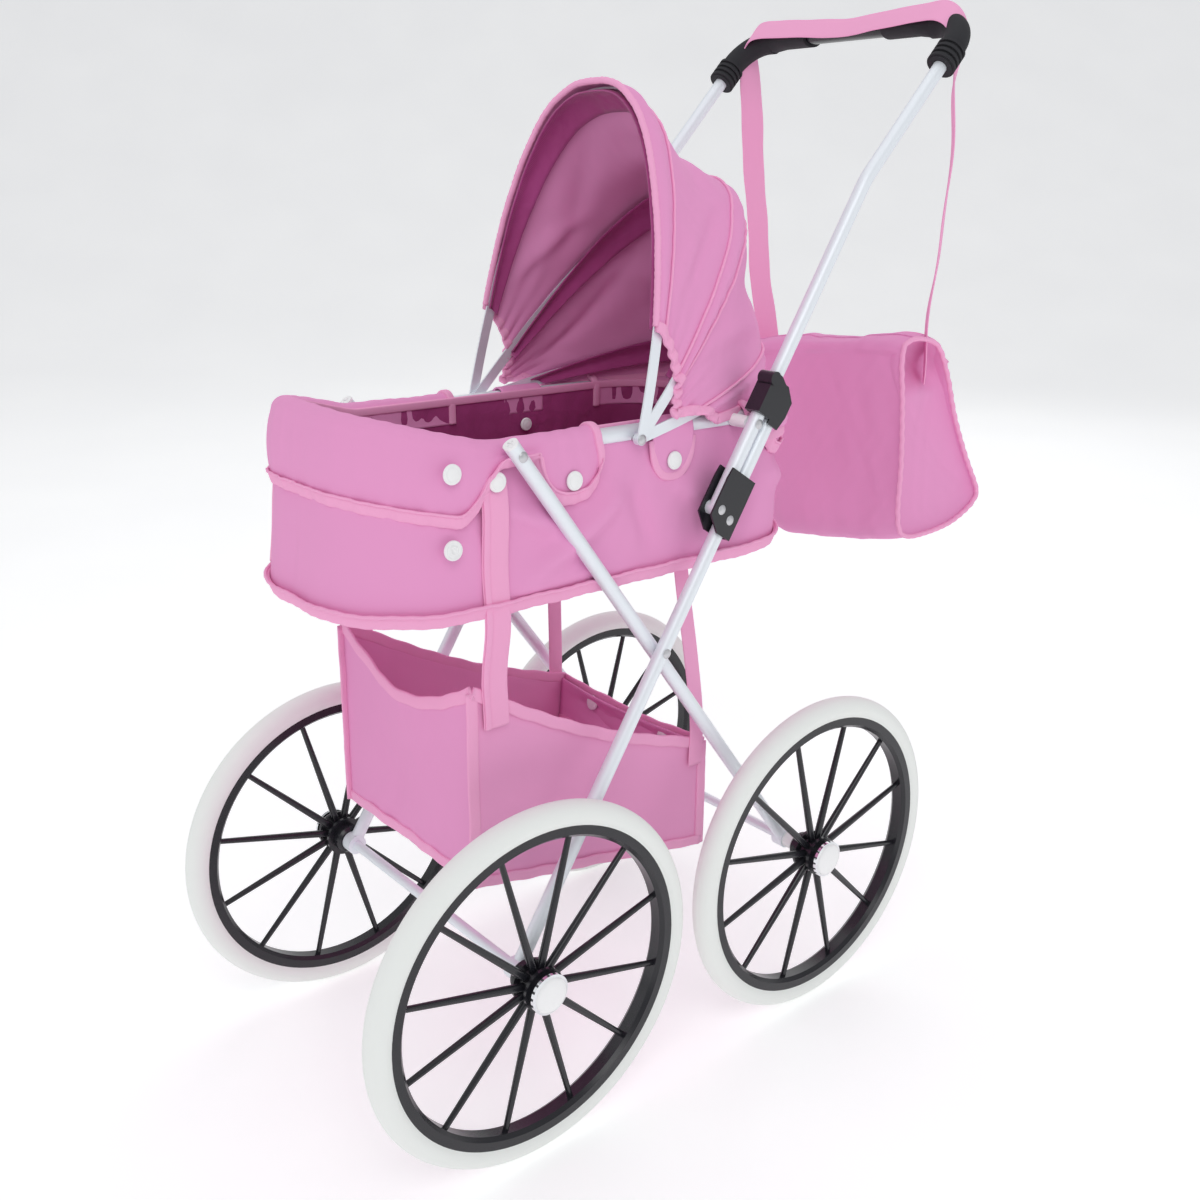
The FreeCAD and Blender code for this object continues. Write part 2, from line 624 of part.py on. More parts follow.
def basket():
    """Sling basket under the bassinet, open at the top and higher at the front."""
    def prism(inset, lift):
        pts = [V(-BASKET_X + inset, BASKET_FRONT + inset, BASKET_TOP_FRONT + lift),
               V(-BASKET_X + inset, BASKET_REAR - inset, BASKET_TOP_REAR + lift),
               V(-BASKET_X + inset, BASKET_REAR - inset, BASKET_LOW_REAR + inset),
               V(-BASKET_X + inset, BASKET_FRONT + inset, BASKET_LOW_FRONT + inset)]
        face = Part.Face(Part.makePolygon(pts + [pts[0]]))
        return face.extrude(V(2 * (BASKET_X - inset), 0, 0))
    return prism(0, 0).cut(prism(BASKET_WALL, 5))


def basket_straps():
    """Webbing from the bassinet's snaps down to the basket's side."""
    x = BODY_OUT + RAIL_X + 0.3
    slope = (BASKET_TOP_FRONT - BASKET_TOP_REAR) / (BASKET_REAR - BASKET_FRONT)
    low = BASKET_TOP_FRONT - slope * (STRAP_Y + 30 - BASKET_FRONT) - 12
    strap = box(BASKET_X + 0.01, BASKET_X + STRAP_T, STRAP_Y, STRAP_Y + STRAP_W, low, BODY_BOTTOM - 14)
    bridge = box(BASKET_X + 0.01, x + STRAP_T, STRAP_Y, STRAP_Y + STRAP_W, BODY_BOTTOM - 15.5, BODY_BOTTOM - 14)
    upper = box(x, x + STRAP_T, STRAP_Y, STRAP_Y + STRAP_W, BODY_BOTTOM - 15.5, RAIL_Z - 16)
    return both(strap.fuse([bridge, upper]).removeSplitter())


def snaps():
    """Press-stud caps on the bassinet's sides."""
    x = RAIL_X + BODY_OUT + 0.1
    studs = [pin(x, x + SNAP_T, y, z, SNAP_R) for y, z in SNAP_SPOTS]
    return Part.makeCompound(studs + [mirrored(s) for s in studs])


# --- bag -------------------------------------------------------------------

def bag_body():
    """Soft bag behind the handle, deeper at the bottom than at the top, hanging a little askew."""
    rise = BAG_X * math.tan(math.radians(BAG_TILT))
    outline = [(BAG_FRONT_TOP, BAG_TOP_Z), (BAG_REAR_TOP, BAG_TOP_Z), (BAG_REAR_LOW, BAG_REAR_LOW_Z),
               ((BAG_FRONT_LOW + BAG_REAR_LOW) / 2, BAG_LOW_Z), (BAG_FRONT_LOW, BAG_LOW_Z + 4)]
    pts = [V(-BAG_X, y, z - rise) for y, z in outline]
    solid = Part.Face(Part.makePolygon(pts + [pts[0]])).extrude(V(2 * BAG_X, 0, 2 * rise))
    long_edges = [e for e in solid.Edges if abs(e.tangentAt(e.FirstParameter).x) > 0.9]
    return solid.makeFillet(BAG_ROUND, long_edges)


def bag_strap():
    """Webbing laid along the crossbar and hanging behind the grips down to the bag."""
    centre = handle_points()[2]
    top = centre.z + GRIP_R + BAG_STRAP_GAP
    rear = centre.y + GRIP_RIB_R + BAG_STRAP_GAP
    span = BAG_STRAP_X
    band = box(-span, span, centre.y - STRAP_W / 2, rear + STRAP_W, top, top + STRAP_T)
    return band.fuse([hanging(side, rear, top) for side in (-1, 1)]).removeSplitter()


def hanging(side, rear, top):
    """One hanging end of the bag's strap, from the crossbar down and in to the bag's end."""
    span = side * BAG_STRAP_X
    x_low = side * (BAG_X - BAG_ROUND)
    low = BAG_TOP_Z + x_low * math.tan(math.radians(BAG_TILT)) + BAG_STRAP_GAP
    inward = -side * STRAP_T
    pts = [V(span, rear, top + STRAP_T), V(span + inward, rear, top + STRAP_T),
           V(x_low + inward, rear, low), V(x_low, rear, low)]
    return Part.Face(Part.makePolygon(pts + [pts[0]])).extrude(V(0, STRAP_W, 0))


def build():
    os.makedirs("parts", exist_ok=True)
    for end, y in (("front", FRONT_Y), ("rear", REAR_Y)):
        for side, label in ((1, "left"), (-1, "right")):
            wheel(side, y, "wheel_%s_%s" % (end, label))
        axle(end + "_axle", y)
        lock_washers(end + "_lock_washers", y)
    for name, shape in (("outer_leg", leg_b()), ("inner_leg", leg_a()), ("handle_tube", handle_tube()),
                        ("corner_grip", corner_grip()), ("fold_bracket", bracket()), ("latch", latch())):
        save(name + "_left", shape)
        save(name + "_right", mirrored(shape))
    save("handle_bar", crossbar())
    save("leg_plugs", both(leg_a_plug()))
    in_a, out_a = LEG_A_X - TUBE_R, LEG_A_X + TUBE_R
    in_b, out_b = LEG_B_X - TUBE_R, LEG_B_X + TUBE_R
    cheek = PLATE_GAP + PLATE_T
    save("crossing_rivets", both(rivet(in_a - 0.02, out_b + 0.02, CROSS_Y, CROSS_Z)))
    stub = rivet(in_a, out_a, A_Y, RAIL_Z).common(box(in_a + 0.2, 200, -500, 500, 0, 900))
    save("leg_top_rivets", both(stub))
    fold = [rivet(in_b - cheek, out_b + cheek, *along(s, t)) for s, t in ((0, 0), (-3, HANDLE_STEP))]
    save("bracket_rivets", Part.makeCompound(fold + [mirrored(r) for r in fold]))
    save("rail_pivot_rivets", both(rivet(RAIL_X - RAIL_R - 0.3, out_b, R_Y, RAIL_Z)))
    spacer = pin(RAIL_OUT + 0.2, in_b, R_Y, RAIL_Z, 4.6).cut(pin(0, 200, R_Y, RAIL_Z, RIVET_D / 2))
    save("rail_spacers", both(spacer))
    bush = pin(out_a, HUB_IN_X - 0.3, REAR_Y, HUB_Z, 6.5).cut(pin(0, 200, REAR_Y, HUB_Z, AXLE_D / 2))
    save("rear_axle_bushes", both(bush))
    save("bassinet_rail", rail())
    save("bassinet_body", bassinet_body())
    save("base_board", base_board())
    save("bassinet_cuff", cuff())
    save("snap_caps", snaps())
    save("canopy_pivots", canopy_pivots())
    bows = (("rear", REAR_BOW), ("middle", MIDDLE_BOW), ("front", FRONT_BOW))
    for layer, (name, (angle, height)) in enumerate(bows):
        save("canopy_%s_bow" % name, bow(angle, height, layer))
    save("canopy_fabric", canopy())
    save("basket", basket())
    save("basket_straps", basket_straps())
    save("bag_body", bag_body())
    save("bag_strap", bag_strap())
    spots = {"fold": (K_Y, K_Z), "rail pivot": (R_Y, RAIL_Z), "leg top": (A_Y, RAIL_Z),
             "crossing": (CROSS_Y, CROSS_Z), "canopy pivot": (CANOPY_Y, CANOPY_Z),
             "crossbar": tuple(handle_points()[2])[1:], "front hub": (FRONT_Y, HUB_Z)}
    for name, (y, z) in spots.items():
        print(name, round(y - ORIGIN_Y, 4), round(z, 4))


ORIGIN_Y = (FRONT_Y - HUB_Z + bag_body().BoundBox.YMax) / 2
build()
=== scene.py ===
"""Doll stroller: the finished look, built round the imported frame.

Everything is in metres in the frame's own axes: +Z up, -Y the front, +X the stroller's left.
"""
import json
import math

import bmesh
import bpy
import numpy as np
from bpy.props import FloatProperty, FloatVectorProperty, PointerProperty
from mathutils import Matrix, Vector


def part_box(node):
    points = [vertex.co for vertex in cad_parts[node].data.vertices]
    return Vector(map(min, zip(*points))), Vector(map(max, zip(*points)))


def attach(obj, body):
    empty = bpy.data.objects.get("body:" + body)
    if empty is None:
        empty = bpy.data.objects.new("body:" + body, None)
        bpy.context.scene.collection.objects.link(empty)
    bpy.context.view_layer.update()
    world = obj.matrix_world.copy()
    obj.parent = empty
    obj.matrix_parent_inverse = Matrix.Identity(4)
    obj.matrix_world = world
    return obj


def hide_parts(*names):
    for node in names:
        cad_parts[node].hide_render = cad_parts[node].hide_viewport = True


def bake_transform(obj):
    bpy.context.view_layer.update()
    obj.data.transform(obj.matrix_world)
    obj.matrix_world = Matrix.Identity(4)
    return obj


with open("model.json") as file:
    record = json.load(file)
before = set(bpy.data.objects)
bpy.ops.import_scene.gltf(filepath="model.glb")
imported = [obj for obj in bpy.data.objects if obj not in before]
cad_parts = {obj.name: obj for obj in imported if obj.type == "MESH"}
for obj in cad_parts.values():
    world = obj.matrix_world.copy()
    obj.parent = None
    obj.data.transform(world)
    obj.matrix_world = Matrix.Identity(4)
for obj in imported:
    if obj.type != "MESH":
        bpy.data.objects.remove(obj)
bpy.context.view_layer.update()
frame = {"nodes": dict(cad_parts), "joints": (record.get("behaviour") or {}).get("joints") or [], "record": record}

bl_info = {
    "name": "Doll stroller",
    "version": (1, 0, 0),
    "blender": (4, 5, 0),
    "location": "View3D > Sidebar > Stroller",
    "description": "Builds the fabrics, trims and finishes of a folding doll stroller",
    "category": "Add Mesh",
}

# Places read from the frame
JOINTS = {joint["name"]: joint for joint in frame["joints"]}
AXLE_MID = (JOINTS["wheel_front_left_spin"]["pos_m"][1] + JOINTS["wheel_rear_left_spin"]["pos_m"][1]) / 2
BOW_PIVOT = np.array(JOINTS["canopy_fold"]["pos_m"])
RAIL_PIVOT = np.array(JOINTS["rail_pivot"]["pos_m"])
BAR = np.array(JOINTS["bag_swing"]["pos_m"])
RAIL_LOW, RAIL_HIGH = (np.array(corner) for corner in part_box("bassinet_rail"))
TUB_LOW, TUB_HIGH = (np.array(corner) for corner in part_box("bassinet_body"))
BAG_LOW, BAG_HIGH = (np.array(corner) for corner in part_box("bag_body"))
BASKET_LOW, BASKET_HIGH = (np.array(corner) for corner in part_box("basket"))
LEG_TOP = np.array(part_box("leg_top_rivets")).mean(0)
BOARD_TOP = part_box("base_board")[1].z
STRAP_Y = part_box("basket_straps")[0][1] + 0.010
RAIL_R = 0.006
RAIL_X = RAIL_HIGH[0] - RAIL_R
RAIL_Y0 = RAIL_LOW[1] + RAIL_R
RAIL_Y1 = RAIL_HIGH[1] - RAIL_R
RAIL_Z = RAIL_LOW[2] + RAIL_R
RAIL_RISE = RAIL_HIGH[2] - RAIL_R - RAIL_Z


def props():
    return bpy.context.scene.stroller_sizes


def hues():
    return bpy.context.scene.stroller_colours


# --- numpy shapes -------------------------------------------------------------

def unit(vectors):
    """Vectors divided by their length."""
    return vectors / np.maximum(np.linalg.norm(vectors, axis=-1, keepdims=True), 1e-12)


def smoothstep(x):
    """3x^2 - 2x^3 of x held between 0 and 1."""
    x = np.clip(x, 0, 1)
    return x * x * (3 - 2 * x)


def resample(points, count, closed=False):
    """Points spaced evenly by arc length along a polyline."""
    if closed:
        points = np.vstack([points, points[:1]])
    run = np.r_[0, np.cumsum(np.linalg.norm(np.diff(points, axis=0), axis=1))]
    at = np.linspace(0, run[-1], count, endpoint=not closed)
    return np.stack([np.interp(at, run, points[:, k]) for k in range(points.shape[1])], -1)


def spline(points, count, closed=False):
    """Catmull-Rom curve through points: each span is a cubic of its four nearest points."""
    p = np.asarray(points, float)
    if closed:
        p = np.vstack([p[-1:], p, p[:2]])
    else:
        p = np.vstack([2 * p[:1] - p[1:2], p, 2 * p[-1:] - p[-2:-1]])
    spans = len(p) - 3
    at = np.linspace(0, spans, 24 * spans, endpoint=not closed)
    k = np.minimum(at.astype(int), spans - 1)
    t = (at - k)[:, None]
    a, b, c, d = p[k], p[k + 1], p[k + 2], p[k + 3]
    bend = 2 * a - 5 * b + 4 * c - d
    skew = 3 * b - a - 3 * c + d
    dense = 0.5 * (2 * b + (c - a) * t + bend * t ** 2 + skew * t ** 3)
    return resample(dense, count, closed)


def curve_through(knots, values, at):
    """A smooth function of one number: Catmull-Rom through (knot, value) pairs."""
    line = spline(np.stack([knots, values], -1), 400)
    order = np.argsort(line[:, 0])
    return np.interp(at, line[order, 0], line[order, 1])


def ripple(a, b, seed, octaves=5):
    """Smooth noise between about -1 and 1: a sum of sine waves in random directions, each twice as fine."""
    rng = np.random.default_rng(seed)
    total = np.zeros(np.broadcast(a, b).shape)
    for k in range(octaves):
        turn, phase, stretch = rng.uniform(0, 2 * math.pi), rng.uniform(0, 2 * math.pi), rng.uniform(0.8,
                                                                                                     1.25)
        wave = (a * math.cos(turn) + b * math.sin(turn)) * stretch * 1.7 ** k
        total = total + np.sin(wave + phase + 0.7 * np.sin(wave * 0.37 + phase)) * 0.62 ** k
    return total / 2.2


def fold_lines(a, b, lines):
    """Creases in cloth: each (a0, b0, a1, b1, height, width) is a ridge along a segment, bell-shaped across
    it."""
    total = np.zeros(np.broadcast(a, b).shape)
    for a0, b0, a1, b1, height, width in lines:
        la, lb = a1 - a0, b1 - b0
        t = np.clip(((a - a0) * la + (b - b0) * lb) / (la * la + lb * lb), 0, 1)
        away = np.hypot(a - a0 - t * la, b - b0 - t * lb)
        total = total + height * np.exp(-(away / width) ** 2) * np.sin(np.pi * (0.12 + 0.76 * t)) ** 0.5
    return total


def surface(name, points, wrap_u=False, wrap_v=False, caps=False, smooth=True):
    """A mesh of quads over a grid of points. wrap_u and wrap_v close it on itself, and caps closes the
    first and last rows of a grid wrapped in v with a fan. UVs are in metres."""
    rows, cols = points.shape[:2]
    u_count = rows if wrap_u else rows - 1
    v_count = cols if wrap_v else cols - 1
    i, j = np.meshgrid(np.arange(u_count), np.arange(v_count), indexing="ij")
    i1, j1 = (i + 1) % rows, (j + 1) % cols
    faces = np.stack([i * cols + j, i1 * cols + j, i1 * cols + j1, i * cols + j1], -1).reshape(-1, 4)
    verts = points.reshape(-1, 3)
    ext = points
    if wrap_u:
        ext = np.concatenate([ext, ext[:1]], 0)
    if wrap_v:
        ext = np.concatenate([ext, ext[:, :1]], 1)
    du = np.linalg.norm(np.diff(ext, axis=0), axis=2).mean(1)
    dv = np.linalg.norm(np.diff(ext, axis=1), axis=2).mean(0)
    u_run, v_run = np.r_[0, np.cumsum(du)], np.r_[0, np.cumsum(dv)]
    corners_u = np.stack([i, i + 1, i + 1, i], -1).reshape(-1)
    corners_v = np.stack([j, j, j + 1, j + 1], -1).reshape(-1)
    uv = np.stack([u_run[corners_u], v_run[corners_v]], -1)
    face_list = faces.tolist()
    if caps:
        middle = np.stack([points[0].mean(0), points[-1].mean(0)])
        n = len(verts)
        verts = np.vstack([verts, middle])
        ring = np.arange(cols)
        nxt = (ring + 1) % cols
        last = (rows - 1) * cols
        fans = [np.stack([nxt, ring, np.full(cols, n)], -1), np.stack([last + ring, last + nxt,
                                                                       np.full(cols, n + 1)], -1)]
        face_list += np.vstack(fans).tolist()
        uv = np.vstack([uv, np.zeros((6 * cols, 2))])
    mesh = bpy.data.meshes.new(name)
    mesh.from_pydata(verts.tolist(), [], face_list)
    layer = mesh.uv_layers.new(name="Cloth")
    layer.data.foreach_set("uv", uv.reshape(-1))
    mesh.polygons.foreach_set("use_smooth", np.full(len(mesh.polygons), smooth))
    mesh.update()
    piece = bpy.data.objects.new(name, mesh)
    bpy.context.scene.collection.objects.link(piece)
    return piece


def face_outwards(piece, merge=1e-6):
    """Merges doubles and turns every face outwards."""
    work = bmesh.new()
    work.from_mesh(piece.data)
    bmesh.ops.remove_doubles(work, verts=work.verts, dist=merge)
    bmesh.ops.recalc_face_normals(work, faces=work.faces)
    work.to_mesh(piece.data)
    work.free()
    return piece


def sweep(name, path, side, section, closed=False, normal=None):
    """A closed section carried along a path. side is the section's first axis, and its second axis is the
    cross product of the path's direction and side."""
    path = np.asarray(path, float)
    if closed:
        along = unit(np.roll(path, -1, 0) - np.roll(path, 1, 0))
    else:
        along = unit(np.gradient(path, axis=0))
    side = np.broadcast_to(np.asarray(side, float), path.shape)
    side = unit(side - (side * along).sum(1, keepdims=True) * along)
    up = np.cross(along, side) if normal is None else unit(normal)
    section = np.asarray(section, float)
    if section.ndim == 2:
        section = np.broadcast_to(section, (len(path),) + section.shape)
    grid = path[:, None] + section[..., :1] * side[:, None] + section[..., 1:] * up[:, None]
    piece = surface(name, grid, wrap_u=closed, wrap_v=True, caps=not closed)
    return face_outwards(piece)


def round_section(radius, count=10):
    """A circle."""
    a = np.linspace(0, 2 * math.pi, count, endpoint=False)
    return np.stack([radius * np.cos(a), radius * np.sin(a)], -1)


def tape_section(width, thick, count=20):
    """A flat band with rounded edges: a superellipse of power 5 across and 2.5 through."""
    a = np.linspace(0, 2 * math.pi, count, endpoint=False)
    c, s = np.cos(a), np.sin(a)
    return np.stack([width / 2 * np.sign(c) * abs(c) ** 0.4, thick / 2 * np.sign(s) * abs(s) ** 0.8], -1)


def joined(name, pieces):
    """One object out of several."""
    with bpy.context.temp_override(active_object=pieces[0], object=pieces[0], selected_objects=pieces,
                                   selected_editable_objects=pieces):
        bpy.ops.object.join()
    pieces[0].name = name
    pieces[0].data.name = name
    return pieces[0]


def thicken(piece, thickness, offset=-1.0):
    """Gives a sheet its wall and applies it."""
    wall = piece.modifiers.new("wall", "SOLIDIFY")
    wall.thickness = thickness
    wall.offset = offset
    wall.use_even_offset = False
    apply_modifiers(piece)
    return piece


def apply_modifiers(piece):
    """Replaces the mesh by the one its modifiers give."""
    bpy.context.view_layer.update()
    graph = bpy.context.evaluated_depsgraph_get()
    mesh = bpy.data.meshes.new_from_object(piece.evaluated_get(graph), preserve_all_data_layers=True,
                                           depsgraph=graph)
    piece.modifiers.clear()
    piece.data = mesh
    mesh.name = piece.name
    mesh.polygons.foreach_set("use_smooth", np.full(len(mesh.polygons), True))


def finish_piece(piece, material, body=None):
    """Material and body of a piece."""
    piece.data.materials.clear()
    piece.data.materials.append(material)
    if body:
        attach(piece, body)
    return piece


# --- materials ----------------------------------------------------------------

class Tree:
    """Short ways to add and join shader nodes."""

    def __init__(self, tree):
        self.tree = tree

    def node(self, kind, **values):
        made = self.tree.nodes.new(kind)
        for key, value in values.items():
            if isinstance(key, str) and hasattr(made, key):
                setattr(made, key, value)
            else:
                self.put(made.inputs[key.replace("_", " ")], value)
        return made

    def put(self, socket, value):
        if isinstance(value, bpy.types.NodeSocket):
            self.tree.links.new(value, socket)
        else:
            socket.default_value = value

    def math(self, operation, a, b=0.0):
        made = self.tree.nodes.new("ShaderNodeMath")
        made.operation = operation
        self.put(made.inputs[0], a)
        self.put(made.inputs[1], b)
        return made.outputs[0]

    def mix(self, factor, a, b):
        made = self.tree.nodes.new("ShaderNodeMix")
        made.data_type = "RGBA"
        self.put(made.inputs[0], factor)
        self.put(made.inputs[6], a)
        self.put(made.inputs[7], b)
        return made.outputs[2]

    def ramp(self, value, low, high, out_low=0.0, out_high=1.0):
        made = self.node("ShaderNodeMapRange", Value=value)
        made.inputs[1].default_value = low
        made.inputs[2].default_value = high
        self.put(made.inputs[3], out_low)
        self.put(made.inputs[4], out_high)
        return made.outputs[0]

    def noise(self, vector, scale, detail=3.0, rough=0.55):
        made = self.node("ShaderNodeTexNoise", Vector=vector, Scale=scale, Detail=detail, Roughness=rough)
        return made.outputs[0]

    def bump(self, height, distance, strength=1.0, normal=None):
        made = self.node("ShaderNodeBump", Height=height, Distance=distance, Strength=strength)
        if normal is not None:
            self.put(made.inputs["Normal"], normal)
        return made.outputs[0]


def group(name, inputs, outputs):
    """An empty shader group with its sockets. Returns (group, helper, input node, output node)."""
    tree = bpy.data.node_groups.new(name, "ShaderNodeTree")
    for label, kind, value in inputs:
        made = tree.interface.new_socket(label, in_out="INPUT", socket_type=kind)
        if value is not None:
            made.default_value = value
    for label, kind in outputs:
        tree.interface.new_socket(label, in_out="OUTPUT", socket_type=kind)
    help_tree = Tree(tree)
    return tree, help_tree, tree.nodes.new("NodeGroupInput"), tree.nodes.new("NodeGroupOutput")


FLOAT, COLOUR, VECTOR = "NodeSocketFloat", "NodeSocketColor", "NodeSocketVector"


def cloth_group():
    """Woven nylon: crossing threads, slow patches of painted shade (the Shade colour, a shaded copy of the nylon),
    and soft creases under the weave.
    """
    tree, t, given, out = group("Woven cloth", [
        ("Vector", VECTOR, None), ("Colour", COLOUR, (0.8, 0.3, 0.55, 1)), ("Shade", COLOUR, (0.6, 0.15,
                                                                                              0.4, 1)),
        ("Threads", FLOAT, 1100.0), ("Weave", FLOAT, 0.00012), ("Crease size", FLOAT, 26.0),
        ("Crease depth", FLOAT, 0.0016)],
        [("Colour", COLOUR), ("Roughness", FLOAT), ("Normal", VECTOR)])
    vector = given.outputs["Vector"]
    parts = t.node("ShaderNodeSeparateXYZ", Vector=vector)
    threads = given.outputs["Threads"]
    waves = []
    for a, b in ((0, 1), (2, 1)):
        mixed = t.math("ADD", parts.outputs[a], t.math("MULTIPLY", parts.outputs[b], 0.55 if a == 0 else 0.0))
        waves.append(t.math("SINE", t.math("MULTIPLY", t.math("MULTIPLY", mixed, threads), 6.2832)))
    weave = t.math("MULTIPLY", waves[0], waves[1])
    crease = t.noise(vector, given.outputs["Crease size"], 4.0, 0.5)
    stretch = t.node("ShaderNodeTexNoise", Vector=vector, Scale=given.outputs["Crease size"], Detail=2.0)
    stretch.inputs["Distortion"].default_value = 1.6
    folds = t.math("ADD", crease, t.math("MULTIPLY", stretch.outputs[0], 0.8))
    broad = t.bump(folds, given.outputs["Crease depth"])
    fine = t.bump(weave, given.outputs["Weave"], 1.0, broad)
    # painted shade: slow noise patches mix the shaded copy of the nylon colour into the lit one
    shade_patch_mask = t.ramp(t.noise(vector, 9.0, 4.0, 0.6), 0.35, 0.7)
    tint = t.mix(shade_patch_mask, given.outputs["Shade"], given.outputs["Colour"])
    speck = t.ramp(weave, -1.0, 1.0, 0.86, 1.06)
    lit = t.node("ShaderNodeMix", data_type="RGBA", blend_type="MULTIPLY")
    lit.inputs[0].default_value = 1.0
    t.put(lit.inputs[6], tint)
    t.put(lit.inputs[7], speck)
    t.put(out.inputs["Colour"], lit.outputs[2])
    t.put(out.inputs["Roughness"], t.ramp(crease, 0.3, 0.7, 0.38, 0.56))
    t.put(out.inputs["Normal"], fine)
    return tree


def tape_group():
    """Woven tape: fine ribs across it, and a row of stitches near each edge, both from its own UVs."""
    tree, t, given, out = group("Woven tape", [
        ("Vector", VECTOR, None), ("Colour", COLOUR, (0.9, 0.4, 0.65, 1)), ("Rib", FLOAT, 900.0),
        ("Relief", FLOAT, 0.0002)],
        [("Colour", COLOUR), ("Roughness", FLOAT), ("Normal", VECTOR)])
    parts = t.node("ShaderNodeSeparateXYZ", Vector=given.outputs["Vector"])
    along = t.math("SINE", t.math("MULTIPLY", parts.outputs[0], t.math("MULTIPLY", given.outputs["Rib"],
                                                                       6.2832)))
    across = t.math("SINE", t.math("MULTIPLY", parts.outputs[1], t.math("MULTIPLY", given.outputs["Rib"],
                                                                        6.2832)))
    ribs = t.math("ADD", along, t.math("MULTIPLY", across, 0.4))
    slow = t.noise(given.outputs["Vector"], 40.0, 3.0, 0.6)
    tint = t.mix(t.ramp(slow, 0.3, 0.75, 0.0, 0.35), given.outputs["Colour"], (1.0, 0.7, 0.86, 1))
    t.put(out.inputs["Colour"], tint)
    t.put(out.inputs["Roughness"], t.ramp(slow, 0.2, 0.8, 0.5, 0.68))
    puffed = t.bump(slow, 0.0012)
    t.put(out.inputs["Normal"], t.bump(ribs, given.outputs["Relief"], 1.0, puffed))
    return tree


def wear_group():
    """Handled surfaces: faint scratches, dust and a slight orange-peel, as a colour, roughness and normal."""
    tree, t, given, out = group("Handled surface", [
        ("Vector", VECTOR, None), ("Colour", COLOUR, (0.8, 0.8, 0.8, 1)), ("Worn", COLOUR, (0.6, 0.6, 0.6,
                                                                                            1)),
        ("Roughness", FLOAT, 0.25), ("Wear", FLOAT, 0.2), ("Grain", FLOAT, 180.0), ("Relief", FLOAT,
                                                                                    0.00006)],
        [("Colour", COLOUR), ("Roughness", FLOAT), ("Normal", VECTOR)])
    vector = given.outputs["Vector"]
    blotch = t.noise(vector, 14.0, 5.0, 0.62)
    squeezed = t.node("ShaderNodeMapping", Vector=vector, Scale=(40.0, 900.0, 60.0))
    lines = t.noise(squeezed.outputs[0], 1.0, 2.0, 0.5)
    scratches = t.math("MULTIPLY", t.ramp(lines, 0.66, 0.72), t.ramp(blotch, 0.45, 0.6))
    mask = t.math("MULTIPLY", t.math("ADD", scratches, t.ramp(blotch, 0.5, 0.8)), given.outputs["Wear"])
    t.put(out.inputs["Colour"], t.mix(mask, given.outputs["Colour"], given.outputs["Worn"]))
    rough = t.math("ADD", given.outputs["Roughness"], t.math("MULTIPLY", t.ramp(blotch, 0.35, 0.75), 0.14))
    t.put(out.inputs["Roughness"], rough)
    peel = t.noise(vector, given.outputs["Grain"], 2.0, 0.5)
    t.put(out.inputs["Normal"], t.bump(peel, given.outputs["Relief"]))
    return tree


def new_material(name, group_name, values, uv=False, **shader):
    """A Principled material fed by one of the shared groups. shader holds plain socket values."""
    material = bpy.data.materials.new(name)
    material.use_nodes = True
    tree = material.node_tree
    tree.nodes.clear()
    t = Tree(tree)
    end = tree.nodes.new("ShaderNodeOutputMaterial")
    cover = tree.nodes.new("ShaderNodeBsdfPrincipled")
    for socket, value in shader.items():
        cover.inputs[socket.replace("_", " ")].default_value = value
    effect = tree.nodes.new("ShaderNodeGroup")
    effect.node_tree = bpy.data.node_groups[group_name]
    place = tree.nodes.new("ShaderNodeTexCoord")
    t.put(effect.inputs["Vector"], place.outputs["UV" if uv else "Object"])
    for socket, value in values.items():
        effect.inputs[socket].default_value = value
    for source, target in (("Colour", "Base Color"), ("Roughness", "Roughness"), ("Normal", "Normal")):
        t.put(cover.inputs[target], effect.outputs[source])
    t.put(end.inputs["Surface"], cover.outputs[0])
    return material


def rgba(colour, scale=1.0):
    return (colour[0] * scale, colour[1] * scale, colour[2] * scale, 1.0)


def net_material():
    """Nylon net: square holes cut out by alpha from the piece's own UVs, threads rounded by bump."""
    c = hues()
    material = new_material("pink_net", "Woven tape", {"Colour": rgba(c.net), "Rib": 0.0}, uv=True,
                            Sheen_Weight=0.3, Sheen_Roughness=0.4)
    t = Tree(material.node_tree)
    cover = next(n for n in material.node_tree.nodes if n.type == "BSDF_PRINCIPLED")
    place = t.node("ShaderNodeTexCoord")
    parts = t.node("ShaderNodeSeparateXYZ", Vector=place.outputs["UV"])
    pitch = props().net_pitch
    lines = []
    for k in (0, 1):
        turn = t.math("MULTIPLY", parts.outputs[k], 2 * math.pi / pitch)
        lines.append(t.math("ABSOLUTE", t.math("SINE", t.math("MULTIPLY", turn, 0.5))))
    near = t.math("MINIMUM", lines[0], lines[1])
    thread = t.ramp(near, 0.30, 0.17)
    t.put(cover.inputs["Alpha"], thread)
    return material


